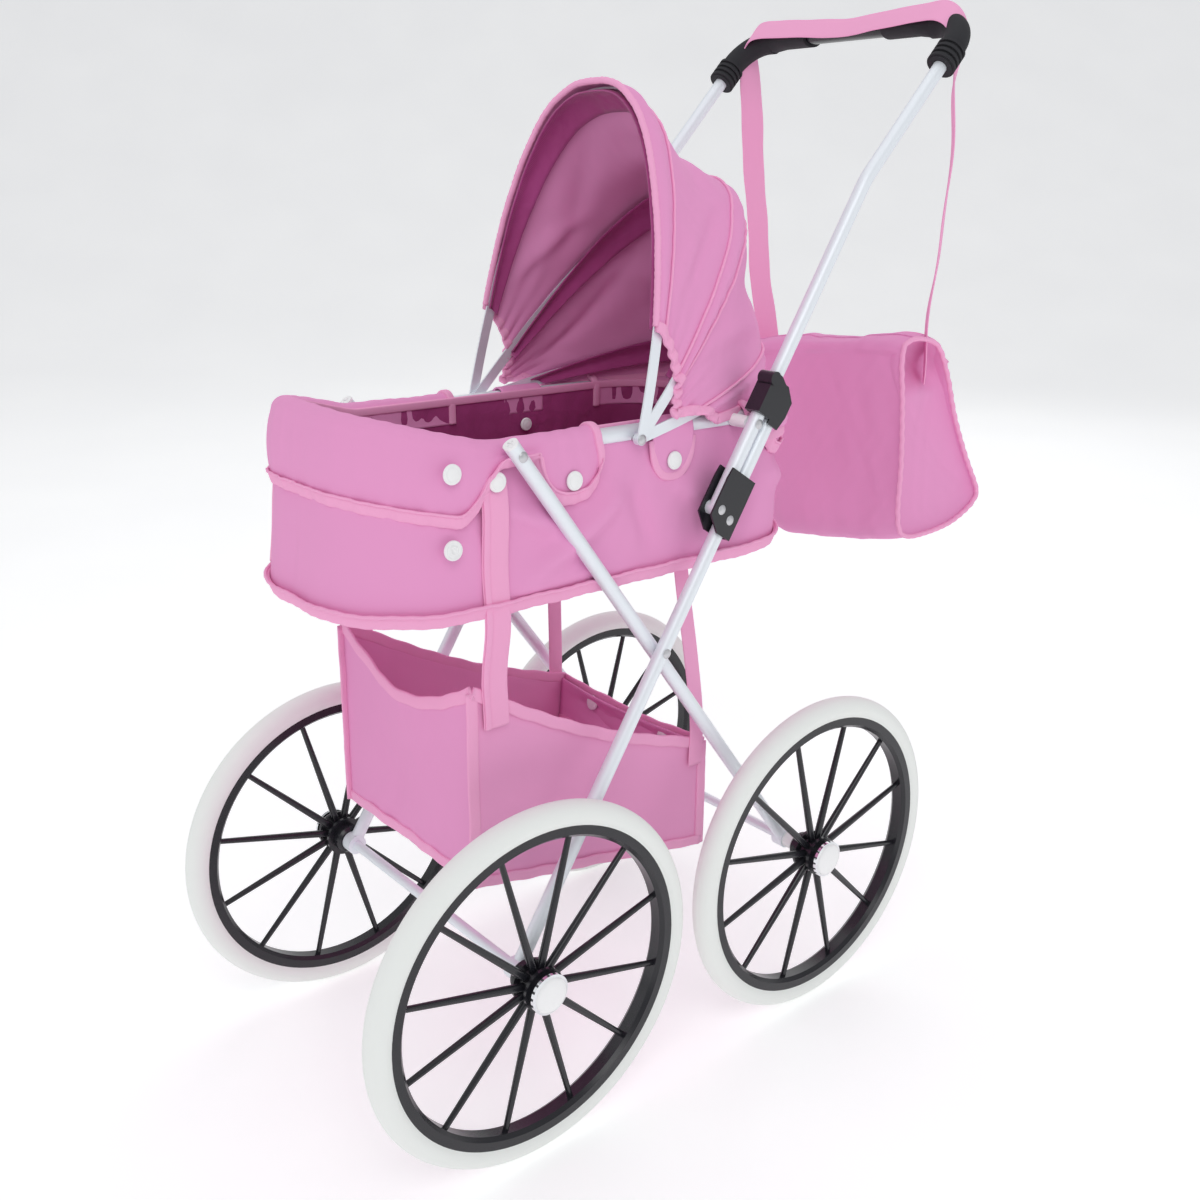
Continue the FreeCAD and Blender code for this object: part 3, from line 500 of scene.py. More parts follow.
def make_materials():
    """Every finish on the stroller, by the record's slot names."""
    c = hues()
    # Shade is a shaded copy of the nylon colour: painted shade, mixed in by the cloth group in noise patches
    nylon = {"Colour": rgba(c.nylon), "Shade": rgba(c.nylon_shade)}
    black = {"Colour": rgba(c.black), "Worn": rgba((0.03, 0.03, 0.032)), "Wear": 0.2}
    paint = {"Colour": rgba(c.frame), "Worn": rgba(c.frame, 0.86), "Wear": 0.25, "Roughness": 0.16,
             "Relief": 0.00005}
    table = {
        "pink_nylon": new_material("pink_nylon", "Woven cloth", nylon, Sheen_Weight=0.35, Sheen_Roughness=0.3,
                                   Sheen_Tint=(0.86, 0.80, 1.0, 1.0), Specular_IOR_Level=0.4),
        "pink_lining": new_material("pink_lining", "Woven cloth", dict(nylon, **{"Crease depth": 0.0026}),
                                    Sheen_Weight=0.3, Sheen_Roughness=0.4, Specular_IOR_Level=0.35),
        "pink_webbing": new_material("pink_webbing", "Woven tape", {"Colour": rgba(c.tape)}, uv=True,
                                     Sheen_Weight=0.3, Sheen_Roughness=0.45, Specular_IOR_Level=0.3),
        "pink_mesh": net_material(),
        "white_paint": new_material("white_paint", "Handled surface", paint, Coat_Weight=0.55,
                                    Coat_Roughness=0.08),
        "white_tyre": new_material("white_tyre", "Handled surface",
                                   {"Colour": rgba(c.tyre), "Worn": rgba((0.62, 0.63, 0.60)), "Wear": 0.3,
                                    "Roughness": 0.3, "Grain": 260.0, "Relief": 0.0001},
                                   Coat_Weight=0.15, Coat_Roughness=0.3),
        "black_rim": new_material("black_rim", "Handled surface", dict(black, Roughness=0.16),
                                  Specular_IOR_Level=0.3),
        "black_plastic": new_material("black_plastic", "Handled surface", dict(black, Roughness=0.12),
                                      Specular_IOR_Level=0.34),
        "black_rubber": new_material("black_rubber", "Handled surface",
                                     {"Colour": rgba((0.018, 0.018, 0.02)), "Worn": rgba((0.06, 0.06, 0.062)),
                                      "Wear": 0.35, "Roughness": 0.42, "Grain": 500.0, "Relief": 0.00012}),
        "white_cap": new_material("white_cap", "Handled surface",
                                  {"Colour": rgba((0.9, 0.9, 0.9)), "Worn": rgba((0.75, 0.74, 0.72)),
                                   "Wear": 0.15,
                                   "Roughness": 0.15}, Coat_Weight=0.4, Coat_Roughness=0.08),
        "white_plastic": new_material("white_plastic", "Handled surface",
                                      {"Colour": rgba((0.85, 0.83, 0.84)), "Worn": rgba((0.7, 0.66, 0.68)),
                                       "Wear": 0.25, "Roughness": 0.3}),
        "chrome": new_material("chrome", "Handled surface",
                               {"Colour": rgba((0.78, 0.79, 0.81)), "Worn": rgba((0.6, 0.6, 0.6)),
                                "Wear": 0.2,
                                "Roughness": 0.08}, Metallic=1.0),
        "steel": new_material("steel", "Handled surface",
                              {"Colour": rgba((0.58, 0.58, 0.6)), "Worn": rgba((0.4, 0.38, 0.36)),
                               "Wear": 0.35,
                               "Roughness": 0.28, "Grain": 700.0, "Relief": 0.00008}, Metallic=1.0),
        "board": new_material("board", "Handled surface",
                              {"Colour": rgba((0.42, 0.36, 0.3)), "Worn": rgba((0.3, 0.25, 0.2)), "Wear": 0.6,
                               "Roughness": 0.7, "Grain": 900.0, "Relief": 0.0002}),
    }
    return table


def finish_of(slot):
    """The material of a record slot."""
    return bpy.data.materials[slot]


# --- the bassinet -------------------------------------------------------------

def oval(count, grow=0.0):
    """The rail's oval seen from above as (x, y), grow outside its centre line, evenly spaced. It starts at
    the middle of the rear end and goes by the stroller's left side: four arcs joined by straight sides."""
    s = props()
    x, y0, y1 = RAIL_X + grow, RAIL_Y0 - grow, RAIL_Y1 + grow
    front, rear = s.front_corner + grow, s.rear_corner + grow
    quarter = np.linspace(0, math.pi / 2, 60)
    arcs = []
    for cx, cy, r, start in ((x - rear, y1 - rear, rear, math.pi / 2), (x - front, y0 + front, front, 0),
                             (-x + front, y0 + front, front, -math.pi / 2), (-x + rear, y1 - rear, rear,
                                                                             math.pi)):
        a = start - quarter
        arcs.append(np.stack([cx + r * np.cos(a), cy + r * np.sin(a)], -1))
    loop = np.vstack([[[0, y1]]] + arcs)
    return resample(loop, count, closed=True)


def rail_height(y):
    """Height of the rail's centre line, which climbs in a straight ramp towards the front."""
    start = AXLE_MID + props().rise_start
    t = np.clip((start - y) / (start - RAIL_Y0), 0, 1)
    return RAIL_Z + RAIL_RISE * np.sqrt(t * t + 0.004) - RAIL_RISE * 0.06 * (1 - t)


def outward(loop):
    """Unit normals of a closed outline in plan, pointing out."""
    along = unit(np.roll(loop, -1, 0) - np.roll(loop, 1, 0))
    normal = np.stack([-along[:, 1], along[:, 0]], -1)
    return normal * np.sign((normal * loop).sum(1).mean())


# --- the sizes the cloths are cut to ------------------------------------------


TUB_FOLDS = [
    # along the side from the front, height, in metres: the long crease under the stud, then the smaller ones
    (0.030, 0.405, 0.105, 0.452, 0.0060, 0.010), (0.010, 0.462, 0.055, 0.440, 0.0038, 0.007),
    (0.000, 0.440, 0.008, 0.398, 0.0040, 0.006), (0.020, 0.398, 0.085, 0.404, 0.0040, 0.007),
    (0.090, 0.405, 0.130, 0.395, 0.0030, 0.006), (0.125, 0.455, 0.140, 0.410, -0.0028, 0.008),
    (0.170, 0.452, 0.215, 0.418, 0.0034, 0.009), (0.240, 0.455, 0.225, 0.405, -0.0030, 0.009),
    (0.265, 0.448, 0.310, 0.425, 0.0034, 0.008), (0.320, 0.400, 0.345, 0.446, 0.0034, 0.008),
]


def tub_wall(rows, cols):
    """Points of the fabric tub: the oval outline grows a little and moves forward towards the floor, the
    lower edge is a quarter circle, and creases push the cloth in and out along its normal."""
    s = props()
    top, floor = 0.0045, TUB_LOW[2] + 0.001
    t = np.linspace(0, 1, cols)
    wall, bend = 0.72, s.tub_edge_r
    down = np.clip(t / wall, 0, 1)
    turn = np.clip((t - wall) / 0.13, 0, 1) * math.pi / 2
    inwards = np.clip((t - wall - 0.13) / (1 - wall - 0.13), 0, 1)
    loop = oval(rows, 0.0)
    normal = outward(loop)
    z_top = rail_height(loop[:, 1]) - 0.004
    grow = top + (s.tub_out - top) * smoothstep(down * 2.2) - bend * (1 - np.cos(turn))
    z_side = z_top[:, None] + (floor + bend - z_top[:, None]) * down
    z = z_side - bend * np.sin(turn)
    xy = loop[:, None] + normal[:, None] * grow[None, :, None]
    front = smoothstep((AXLE_MID - 0.08 - loop[:, 1]) / 0.10)
    rear = smoothstep((loop[:, 1] - AXLE_MID - 0.08) / 0.07)
    xy[..., 1] += (-s.tub_flare * front + 0.004 * rear)[:, None] * (down ** 1.3)[None]
    shrink = (1 - inwards)[None, :, None]
    centre = np.array([0, (RAIL_Y0 + RAIL_Y1) / 2])
    xy = centre + (xy - centre) * shrink
    from_front = loop[:, 1] - RAIL_Y0 - s.front_corner
    run = from_front
    live = np.sin(np.pi * np.clip(down, 0.0, 1)) ** 0.6
    seed = np.where(loop[:, 0] > 0, 0.0, 3.0)
    push = fold_lines(run[:, None] + seed[:, None] * 0.006, z, TUB_FOLDS) * s.tub_creases
    push += 0.0016 * ripple(run[:, None] * 34 + seed[:, None], z * 30, 4)
    strap = np.exp(-((loop[:, 1] - STRAP_Y) / 0.016) ** 2)
    push = push * (1 - 0.9 * strap[:, None]) - 0.0015 * strap[:, None]
    arc = np.arange(rows)[:, None] * 2 * math.pi / rows
    gathers = 0.0007 * np.sin(arc * 46 + 2 * np.sin(arc * 7)) * np.exp(-down * 7)[None]
    push = (push + gathers) * live[None] * (1 - inwards)[None]
    seam = np.exp(-((loop[:, 0] + s.seam_x) / 0.0016) ** 2) * (loop[:, 1] < RAIL_Y0 + 0.05)
    push -= 0.0035 * seam[:, None] * live[None]
    xy += normal[:, None] * push[..., None]
    return np.concatenate([xy, np.broadcast_to(z, xy.shape[:2])[..., None]], -1)


def make_tub():
    """Fabric tub, its floor included, with a lining face inside."""
    grid = tub_wall(360, 64)
    tub = surface("bassinet_tub", grid, wrap_u=True)
    face_outwards(tub)
    thicken(tub, 0.0016)
    finish_piece(tub, finish_of("pink_nylon"), "bassinet")
    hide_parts("bassinet_body")
    return grid


def make_lining():
    """Inner cloth of the tub: it stands inside the rail, a little higher than it, and falls to the floor
    pad. Soft pleats hang from its taped top edge and die out on the way down."""
    s = props()
    rows, cols = 420, 30
    loop = oval(rows, 0.0)
    normal = outward(loop)
    t = np.linspace(0, 1, cols)[None]
    z_top = rail_height(loop[:, 1]) + s.lining_rise
    z = z_top[:, None] + (BOARD_TOP + 0.003 - z_top[:, None]) * t
    grow = -s.lining_gap + (s.lining_gap + 0.004) * smoothstep((t - 0.12) / 0.75)
    arc = np.arange(rows)[:, None] * 2 * math.pi / rows
    pleats = 0.0005 * np.sin(arc * 22 + 3 * np.sin(arc * 5)) * np.exp(-((t - 0.30) / 0.22) ** 2)
    push = grow - np.abs(pleats) + 0.0011 * ripple(arc * 9, t * 5, 15) * np.sin(np.pi * t)
    grid = np.empty((rows, cols, 3))
    grid[..., :2] = loop[:, None] + normal[:, None] * push[..., None]
    grid[..., 2] = z
    lining = surface("bassinet_lining", grid, wrap_u=True)
    face_outwards(lining)
    thicken(lining, 0.0009, 1.0)
    finish_piece(lining, finish_of("pink_lining"), "bassinet")
    out = np.concatenate([normal, np.zeros((rows, 1))], -1)
    edge = sweep("lining_binding", grid[:, 0] - [0, 0, 0.002], [0, 0, 1.0], tape_section(0.0062, 0.0030),
                 closed=True,
                 normal=out)
    finish_piece(edge, finish_of("pink_webbing"), "bassinet")


def along_tub(grid, t):
    """A closed line round the tub at a share t of its profile, and the wall's outward normals there."""
    j = int(round(t * (grid.shape[1] - 1)))
    line = grid[:, j]
    down = unit(grid[:, j + 1] - grid[:, j - 1])
    along = unit(np.roll(line, -1, 0) - np.roll(line, 1, 0))
    out = unit(np.cross(along, down))
    flip = np.sign((out[:, :2] * (line[:, :2] - line[:, :2].mean(0))).sum(1).mean())
    return line, down, out * flip


def make_tub_trim(grid):
    """Binding tape round the tub's lower edge, and the double piping of its one upright seam."""
    line, down, out = along_tub(grid, 0.75)
    arc = np.arange(len(line)) * 2 * math.pi / len(line)
    wobble = 0.00018 * np.sin(arc * 90) + 0.0003 * np.sin(arc * 23 + 1)
    path = line + out * (0.0012 + wobble * 0.6)[:, None] + down * wobble[:, None]
    band = sweep("tub_lower_binding", path, down, tape_section(0.0095, 0.0026), closed=True, normal=out)
    cord = sweep("tub_lower_piping", path - down * 0.0052 + out * 0.0012, down, round_section(0.0013, 8),
                 closed=True, normal=out)
    pieces = [band, cord]
    cols = grid.shape[1]
    top, low = int(0.06 * cols), int(0.70 * cols)
    near = np.abs(grid[:, low, 0] + props().seam_x) + (grid[:, low, 1] > RAIL_Y0 + 0.05) * 1.0
    for row in (int(np.argmin(near)) - 2, int(np.argmin(near)) + 2):
        path = resample(grid[row, top:low], 40)
        normal = np.broadcast_to(unit(path.mean(0) * [1, 1, 0] - [0, AXLE_MID - 0.05, 0]), path.shape)
        pieces.append(sweep("seam", path + normal * 0.0006, [-0.8, 0.2, 0.1], tape_section(0.0042, 0.0028)))
    trim = joined("tub_binding", pieces)
    finish_piece(trim, finish_of("pink_webbing"), "bassinet")


def flap_drop(y):
    """How far the cuff hangs outside the rail at each y: deep round the front, almost nothing at the leg's
    top rivet, then a U-shaped tab over the press stud."""
    s = props()
    leg = LEG_TOP[1]
    front = s.cuff_drop * smoothstep((leg - 0.006 - y) / 0.034)
    tab = np.clip(1 - np.abs((y - leg - 0.046) / 0.027) ** 2.6, 0, 1) ** 0.55 * 0.030
    return np.maximum(front, tab) + 0.005


def cuff_run(y_end, drop, through_front=True, cols=44, spacing=0.0022):
    """A padded cuff on part of the oval: up inside the rail, over it in a half circle and down outside by
    drop(y). The padding bulges between its edges and gathers slightly along its length."""
    dense = oval(4000, 0.0)
    y = dense[:, 1]
    keep = y < y_end if through_front else y > y_end
    if through_front:
        path = dense[np.nonzero(keep)[0]]
    else:
        path = np.roll(dense, 2000, 0)
        path = path[np.roll(keep, 2000)]
    length = np.linalg.norm(np.diff(path, axis=0), axis=1).sum()
    path = resample(path, max(12, int(length / spacing)))
    along = unit(np.gradient(path, axis=0))
    normal = np.stack([-along[:, 1], along[:, 0]], -1)
    normal *= np.sign((normal * (path - [0, (RAIL_Y0 + RAIL_Y1) / 2])).sum(1).mean())
    z = rail_height(path[:, 1])
    run = np.r_[0, np.cumsum(np.linalg.norm(np.diff(path, axis=0), axis=1))]
    hang = drop(path[:, 1])
    s = props()
    radius, inner = RAIL_R + s.cuff_pad, s.cuff_inner
    v = np.linspace(0, 1, cols)
    a_in, a_over = 0.22, 0.55
    low = np.clip(1 - v / a_in, 0, 1)
    over = np.clip((v - a_in) / (a_over - a_in), 0, 1) * math.pi
    out = np.clip((v - a_over) / (1 - a_over), 0, 1)
    across = -np.cos(over) * radius
    up = np.sin(over) * radius
    puff = 0.0032 * np.sin(np.pi * out) ** 0.7
    ends = smoothstep(run / 0.012) * smoothstep((run[-1] - run) / 0.012)
    lean = 0.0025 * out
    gx = across[None] + (puff + lean)[None] * (0.35 + 0.65 * np.clip(hang / s.cuff_drop, 0, 1))[:, None]
    gz = up[None] - low[None] * inner - out[None] * hang[:, None]
    gather = 0.00022 * np.sin(run * 420 + 3 * np.sin(run * 47))[:, None] * (np.sin(np.pi * v) ** 0.5)[None]
    dent = 0.0011 * ripple(run[:, None] * 26, (v * 2.0)[None], 11, 4) * np.sin(np.pi * v)[None] ** 0.5
    gx = gx + gather * np.cos(over)[None] * -1 + dent * -np.cos(np.clip(over, 0, math.pi))[None]
    gz = gz + (gather + dent) * np.sin(over)[None]
    gx = gx * (0.93 + 0.07 * ends)[:, None]
    grid = np.empty((len(path), cols, 3))
    grid[..., :2] = path[:, None] + normal[:, None] * gx[..., None]
    grid[..., 2] = z[:, None] + gz
    return grid, normal


def cuff_piece(name, grid, normal):
    """The cuff's cloth and foam, and the binding tape along its outer edge and its ends."""
    pad = surface(name, grid)
    face_outwards(pad)
    outwards = np.array([loop.normal for loop in pad.data.polygons])
    mid = np.array([face.center for face in pad.data.polygons])
    plan_out = mid[:, :2] - [0, (RAIL_Y0 + RAIL_Y1) / 2]
    hangs = mid[:, 2] < rail_height(mid[:, 1]) - 0.012
    if ((outwards[:, :2] * plan_out).sum(1) * hangs).sum() < 0:
        pad.data.flip_normals()
    thicken(pad, 0.0022)
    finish_piece(pad, finish_of("pink_nylon"), "bassinet")
    edge = grid[:, -1]
    down = unit(grid[:, -1] - grid[:, -3])
    out = np.concatenate([normal, np.zeros((len(normal), 1))], -1)
    run = np.arange(len(edge)) * 0.0022
    wobble = 0.0005 * np.sin(run * 600) + 0.0005 * np.sin(run * 250)
    path = edge + out * (0.0002 + wobble)[:, None]
    tape = sweep("tape", path, down, tape_section(0.0085, 0.0030), normal=out)
    bead = sweep("bead", path - down * 0.0046 + out * 0.0012, down, round_section(0.0011, 8), normal=out)
    ends = []
    for k in (0, -1):
        line = grid[k]
        ahead = unit(grid[1] - grid[0]) if k == 0 else unit(grid[-2] - grid[-1])
        ends.append(sweep("end", line + ahead * 0.001, ahead, tape_section(0.0062, 0.0040)))
    binding = joined(name + "_binding", [tape, bead] + ends)
    finish_piece(binding, finish_of("pink_webbing"), "bassinet")
    return pad


def make_cuffs():
    """The cuff round the front with its two tabs, the two tabs behind the canopy pivot, and the rear cuff."""
    front_end = BOW_PIVOT[1] - 0.033
    grid, normal = cuff_run(front_end, flap_drop)
    pad = cuff_piece("cuff_front", grid, normal)
    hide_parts("bassinet_cuff")
    rear_drop = lambda y: 0.006 + 0.022 * smoothstep((y - RAIL_PIVOT[1] - 0.016) / 0.03)
    grid, normal = cuff_run(RAIL_PIVOT[1] + 0.012, rear_drop, through_front=False)
    cuff_piece("cuff_rear", grid, normal)
    tab_y = BOW_PIVOT[1] + 0.034
    for side, label in ((1, "left"), (-1, "right")):
        half = 0.019
        ys = np.linspace(tab_y - half, tab_y + half, 22)
        x = np.full_like(ys, side * RAIL_X)
        drop = 0.006 + 0.027 * np.clip(1 - np.abs((ys - tab_y) / half) ** 2.6, 0, 1) ** 0.5
        v = np.linspace(0, 1, 36)
        over = np.clip((v - 0.2) / 0.35, 0, 1) * math.pi
        low, out = np.clip(1 - v / 0.2, 0, 1), np.clip((v - 0.55) / 0.45, 0, 1)
        radius = RAIL_R + 0.0022
        gx = -np.cos(over) * radius + 0.0008 * np.sin(np.pi * out)
        grid = np.empty((22, 36, 3))
        grid[..., 0] = x[:, None] + side * gx[None]
        grid[..., 1] = ys[:, None]
        grid[..., 2] = RAIL_Z + (np.sin(over) * radius)[None] - low[None] * 0.012 - out[None] * drop[:, None]
        normal = np.stack([np.full(22, float(side)), np.zeros(22)], -1)
        tab = surface("cuff_tab_" + label, grid)
        face_outwards(tab)
        thicken(tab, 0.0014, 0.0)
        finish_piece(tab, finish_of("pink_nylon"), "bassinet")
        edge = sweep("cuff_tab_%s_binding" % label, grid[:, -1], [0, 0, 1], tape_section(0.006, 0.0026))
        finish_piece(edge, finish_of("pink_webbing"), "bassinet")


def make_floor_pad():
    """Cloth-covered pad on the board: a rounded oblong whose top is crowned and dips at its quilting line."""
    rows, cols = 160, 26
    loop = oval(rows, -0.002)
    centre = np.array([0, (RAIL_Y0 + RAIL_Y1) / 2])
    t = np.linspace(0, 1, cols)
    shrink = np.clip(1 - np.clip(t - 0.16, 0, 1) / 0.84, 0, 1)
    side = np.clip(t / 0.16, 0, 1)
    xy = centre + (loop - centre)[:, None] * shrink[None, :, None]
    crown = 0.0075 * np.sqrt(np.clip(1 - shrink ** 4, 0, 1))
    z = BOARD_TOP + 0.0002 + 0.004 * np.sin(side * math.pi / 2) + crown
    z = z[None] + 0.0011 * ripple(xy[..., 0] * 45, xy[..., 1] * 40, 8) * (t > 0.16)[None]
    z = z - 0.0012 * np.exp(-((shrink - 0.8) / 0.02) ** 2)[None]
    grid = np.concatenate([xy, np.broadcast_to(z, xy.shape[:2])[..., None]], -1)
    under = grid[:, :1].copy()
    under[..., :2] = centre + (under[..., :2] - centre) * 0.02
    under[..., 2] = BOARD_TOP + 0.0002
    pad = surface("floor_pad", np.concatenate([under, grid], 1), wrap_u=True)
    face_outwards(pad, 2e-4)
    finish_piece(pad, finish_of("pink_lining"), "bassinet")


def stud(name, place, direction, radius=0.0065, female=False):
    """A press stud turned from its profile: rim, groove and domed middle, or a hollow ring for the female
    half."""
    if female:
        profile = [(0.0, 0.0008), (0.25, 0.0008), (0.32, 0.0016), (0.45, 0.0017), (0.55, 0.0006), (0.75,
                                                                                                   0.0006),
                   (0.85, 0.0014), (0.97, 0.0012), (1.0, 0.0004), (1.0, -0.0004)]
    else:
        profile = [(0.0, 0.0019), (0.4, 0.0018), (0.62, 0.0015), (0.70, 0.0012), (0.76, 0.0014), (0.9,
                                                                                                  0.0011),
                   (0.98, 0.0006), (1.0, 0.0), (1.0, -0.0004)]
    r, h = np.array(profile).T
    a = np.linspace(0, 2 * math.pi, 28, endpoint=False)
    out = unit(np.asarray(direction, float))
    side = unit(np.cross(out, [0.1, 0.2, 1.0]))
    up = np.cross(out, side)
    ring = np.cos(a)[:, None, None] * side + np.sin(a)[:, None, None] * up
    grid = np.asarray(place) + ring * (r * radius)[None, :, None] + out * h[None, :, None]
    return face_outwards(surface(name, grid, wrap_u=True))


def make_studs():
    """The press studs on cuffs, tabs and straps, and those seen on the inside of the far wall."""
    out = TUB_HIGH[0]
    leg = LEG_TOP[1]
    places = [(leg - 0.047, RAIL_Z - 0.006, RAIL_R + 0.0066, False), (leg + 0.046, RAIL_Z - 0.0225, 0.0146,
                                                                      False),
              (BOW_PIVOT[1] + 0.034, RAIL_Z - 0.0215, 0.0108, False), (leg - 0.047, RAIL_Z - 0.054, 0.0110,
                                                                       True)]
    pieces = []
    for side in (-1, 1):
        for y, z, away, female in places:
            pieces.append(stud("stud", (side * (RAIL_X + away), y, z), (side, 0, 0.05), female=female))
        pieces.append(stud("stud", (side * (out + 0.0030), leg - 0.0135, RAIL_Z - 0.0155), (side, 0, 0)))
        for y, z in ((leg + 0.046, RAIL_Z - 0.022), (BOW_PIVOT[1] + 0.034, RAIL_Z - 0.021)):
            pieces.append(stud("stud", (side * (RAIL_X - 0.0116), y, z), (-side, 0, 0), 0.0052))
    for side in (-0.5, 0.5):
        pieces.append(stud("stud", (side * 0.09, BASKET_HIGH[1] - 0.006, BASKET_LOW[2] + 0.080), (0, -1,
                                                                                                  0.2)))
    studs = joined("press_studs", pieces)
    finish_piece(studs, finish_of("white_plastic"), "bassinet")
    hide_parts("snap_caps")


# --- the hood -----------------------------------------------------------------


def hood_blend(piece):
    """Bakes a hood piece's world transform into its mesh."""
    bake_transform(piece)


def hood_height(angle):
    """Height of the cloth over the pivot line at each angle from the horizontal, sagging between the bows."""
    s = props()
    knots = np.radians([0, s.bow_rear, (s.bow_rear + s.bow_middle) / 2, s.bow_middle,
                        (s.bow_middle + s.bow_front) / 2, s.bow_front, s.bow_front + 8])
    rear, middle, front = s.arch_rear, s.arch_middle, s.arch_front
    heights = [rear - 0.006, rear, (rear + middle) / 2 - s.sag * 0.62, middle, (middle + front) / 2 - s.sag,
               front,
               front + 0.001]
    return curve_through(knots, heights, angle)


def hood_hem(angle):
    """Distance of the lower edge from the pivot: long at the front, short at the rear."""
    s = props()
    return np.interp(np.degrees(angle), [0, s.bow_rear, s.bow_rear + 13, s.bow_middle, s.bow_front, 90],
                     [0.082, 0.062, 0.033, 0.050, 0.074, 0.078])


def hood_point(angle, v, lift=0.0):
    """Arch of the hood at an angle: across = half width x |cos|^0.8, height along the angle = height x sin,
    with v from -1 at the left hem to 1 at the right hem. lift moves the point outwards."""
    s = props()
    height = hood_height(angle) + lift
    hem = np.arcsin(np.clip(hood_hem(angle) / height, 0, 0.95))
    half = s.hood_half_w + lift - 0.0035 * np.sin(np.pi * (np.degrees(angle) - 12) / 65) ** 2
    t = hem + (math.pi - 2 * hem) * (v + 1) / 2
    across = half * np.sign(np.cos(t)) * np.abs(np.cos(t)) ** s.arch_power
    up = height * np.sin(t)
    return np.stack(np.broadcast_arrays(across, BOW_PIVOT[1] + np.cos(angle) * up,
                                        BOW_PIVOT[2] + np.sin(angle) * up), -1), t


HOOD_FOLDS = [
    # v across the arch, angle in degrees over 60, height in metres, width
    (-0.86, 1.16, -0.60, 0.98, 0.0040, 0.050), (-0.72, 1.02, -0.45, 0.90, -0.0045, 0.045),
    (-0.30, 0.95, 0.10, 1.10, 0.0035, 0.050), (0.30, 1.15, 0.62, 0.95, 0.0040, 0.055),
    (0.55, 0.98, 0.88, 1.16, -0.0040, 0.045), (-0.80, 0.62, -0.45, 0.40, 0.0040, 0.055),
    (-0.55, 0.66, -0.15, 0.45, -0.0045, 0.055), (0.05, 0.62, 0.35, 0.40, 0.0040, 0.055),
    (0.45, 0.66, 0.82, 0.42, 0.0045, 0.055), (0.30, 0.52, 0.55, 0.66, -0.0035, 0.045),
]


def sleeve_swell(angle):
    """The cloth stands proud where a bow runs in its sleeve."""
    s = props()
    bulge = 0.0
    for bow, size in ((s.bow_front, 0.0022), (s.bow_middle, 0.0038), (s.bow_rear, 0.0026)):
        bulge = bulge + size * np.exp(-((np.degrees(angle) - bow) / 2.3) ** 2)
    return bulge


def hood_grid(rows, cols, low, high, lift=0.0, wrinkle=1.0):
    """Grid of the hood between two angles in degrees, from the left hem over the top to the right hem."""
    angle = np.radians(np.linspace(low, high, rows))[:, None]
    v = np.linspace(-1, 1, cols)[None]
    push = fold_lines(v, np.degrees(angle) / 60, HOOD_FOLDS)
    push = push + 0.0016 * ripple(v * 9, np.degrees(angle) / 8, 21)
    between = np.abs(np.sin((np.degrees(angle) - props().bow_rear) / 32.5 * np.pi)) ** 0.7
    edge = np.exp(-((1 - np.abs(v)) / 0.10))
    gathers = edge * 0.0007 * np.sin(np.degrees(angle) * 0.9 + 2 * v)
    near_bow = np.exp(-np.abs(np.sin((np.degrees(angle) - props().bow_rear) / 32.5 * np.pi)) * 4)
    puckers = 0.0005 * near_bow * np.sin(v * 60 + 2.5 * np.sin(v * 17)) * (1 - edge)
    points, t = hood_point(angle, v, 0)
    rise = push * between * wrinkle * (1 - edge) + (gathers + puckers) * wrinkle + sleeve_swell(angle) + lift
    out = np.empty(points.shape)
    flat = np.stack([np.cos(t) * 1.0 + 0 * angle, np.sin(t) * np.cos(angle), np.sin(t) * np.sin(angle)], -1)
    out[...] = points + unit(flat) * rise[..., None]
    return out


def make_hood():
    """Outer cloth of the hood with its wall, one continuous sheet over the three bows."""
    s = props()
    grid = hood_grid(150, 170, s.hood_low, s.bow_front + 3.4)
    hood = surface("canopy_hood", grid)
    face_outwards(hood)
    thicken(hood, 0.0012)
    finish_piece(hood, finish_of("pink_nylon"))
    hood_blend(hood)
    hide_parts("canopy_fabric")


def hood_line(angle, lift, cols=150, span=1.0):
    """A line across the hood at one angle, on its cloth or lifted off it."""
    degrees = np.array([angle - 0.5, angle, angle + 0.5])
    return hood_grid(3, cols, degrees[0], degrees[2], lift)[1][int(cols * (1 - span) / 2):]


def hood_band(name, low, high, lift, slot, puff=0.0):
    """A strip of tape or lining along a bow, between two angles, thick enough to have edges."""
    rows = max(5, int((high - low) * 1.5))
    grid = hood_grid(rows, 170, low, high, lift, 0.6)
    middle = hood_grid(rows, 170, low, high, 0.0, 0.6)
    across = np.sin(np.linspace(0, np.pi, rows))[:, None, None] ** 0.6
    grid = grid + unit(grid - middle + 1e-9) * across * puff
    band = surface(name, grid)
    face_outwards(band)
    thicken(band, 0.0011, 0.0)
    finish_piece(band, finish_of("pink_webbing" if slot == "pink_webbing" else "pink_lining"))
    hood_blend(band)
    return band


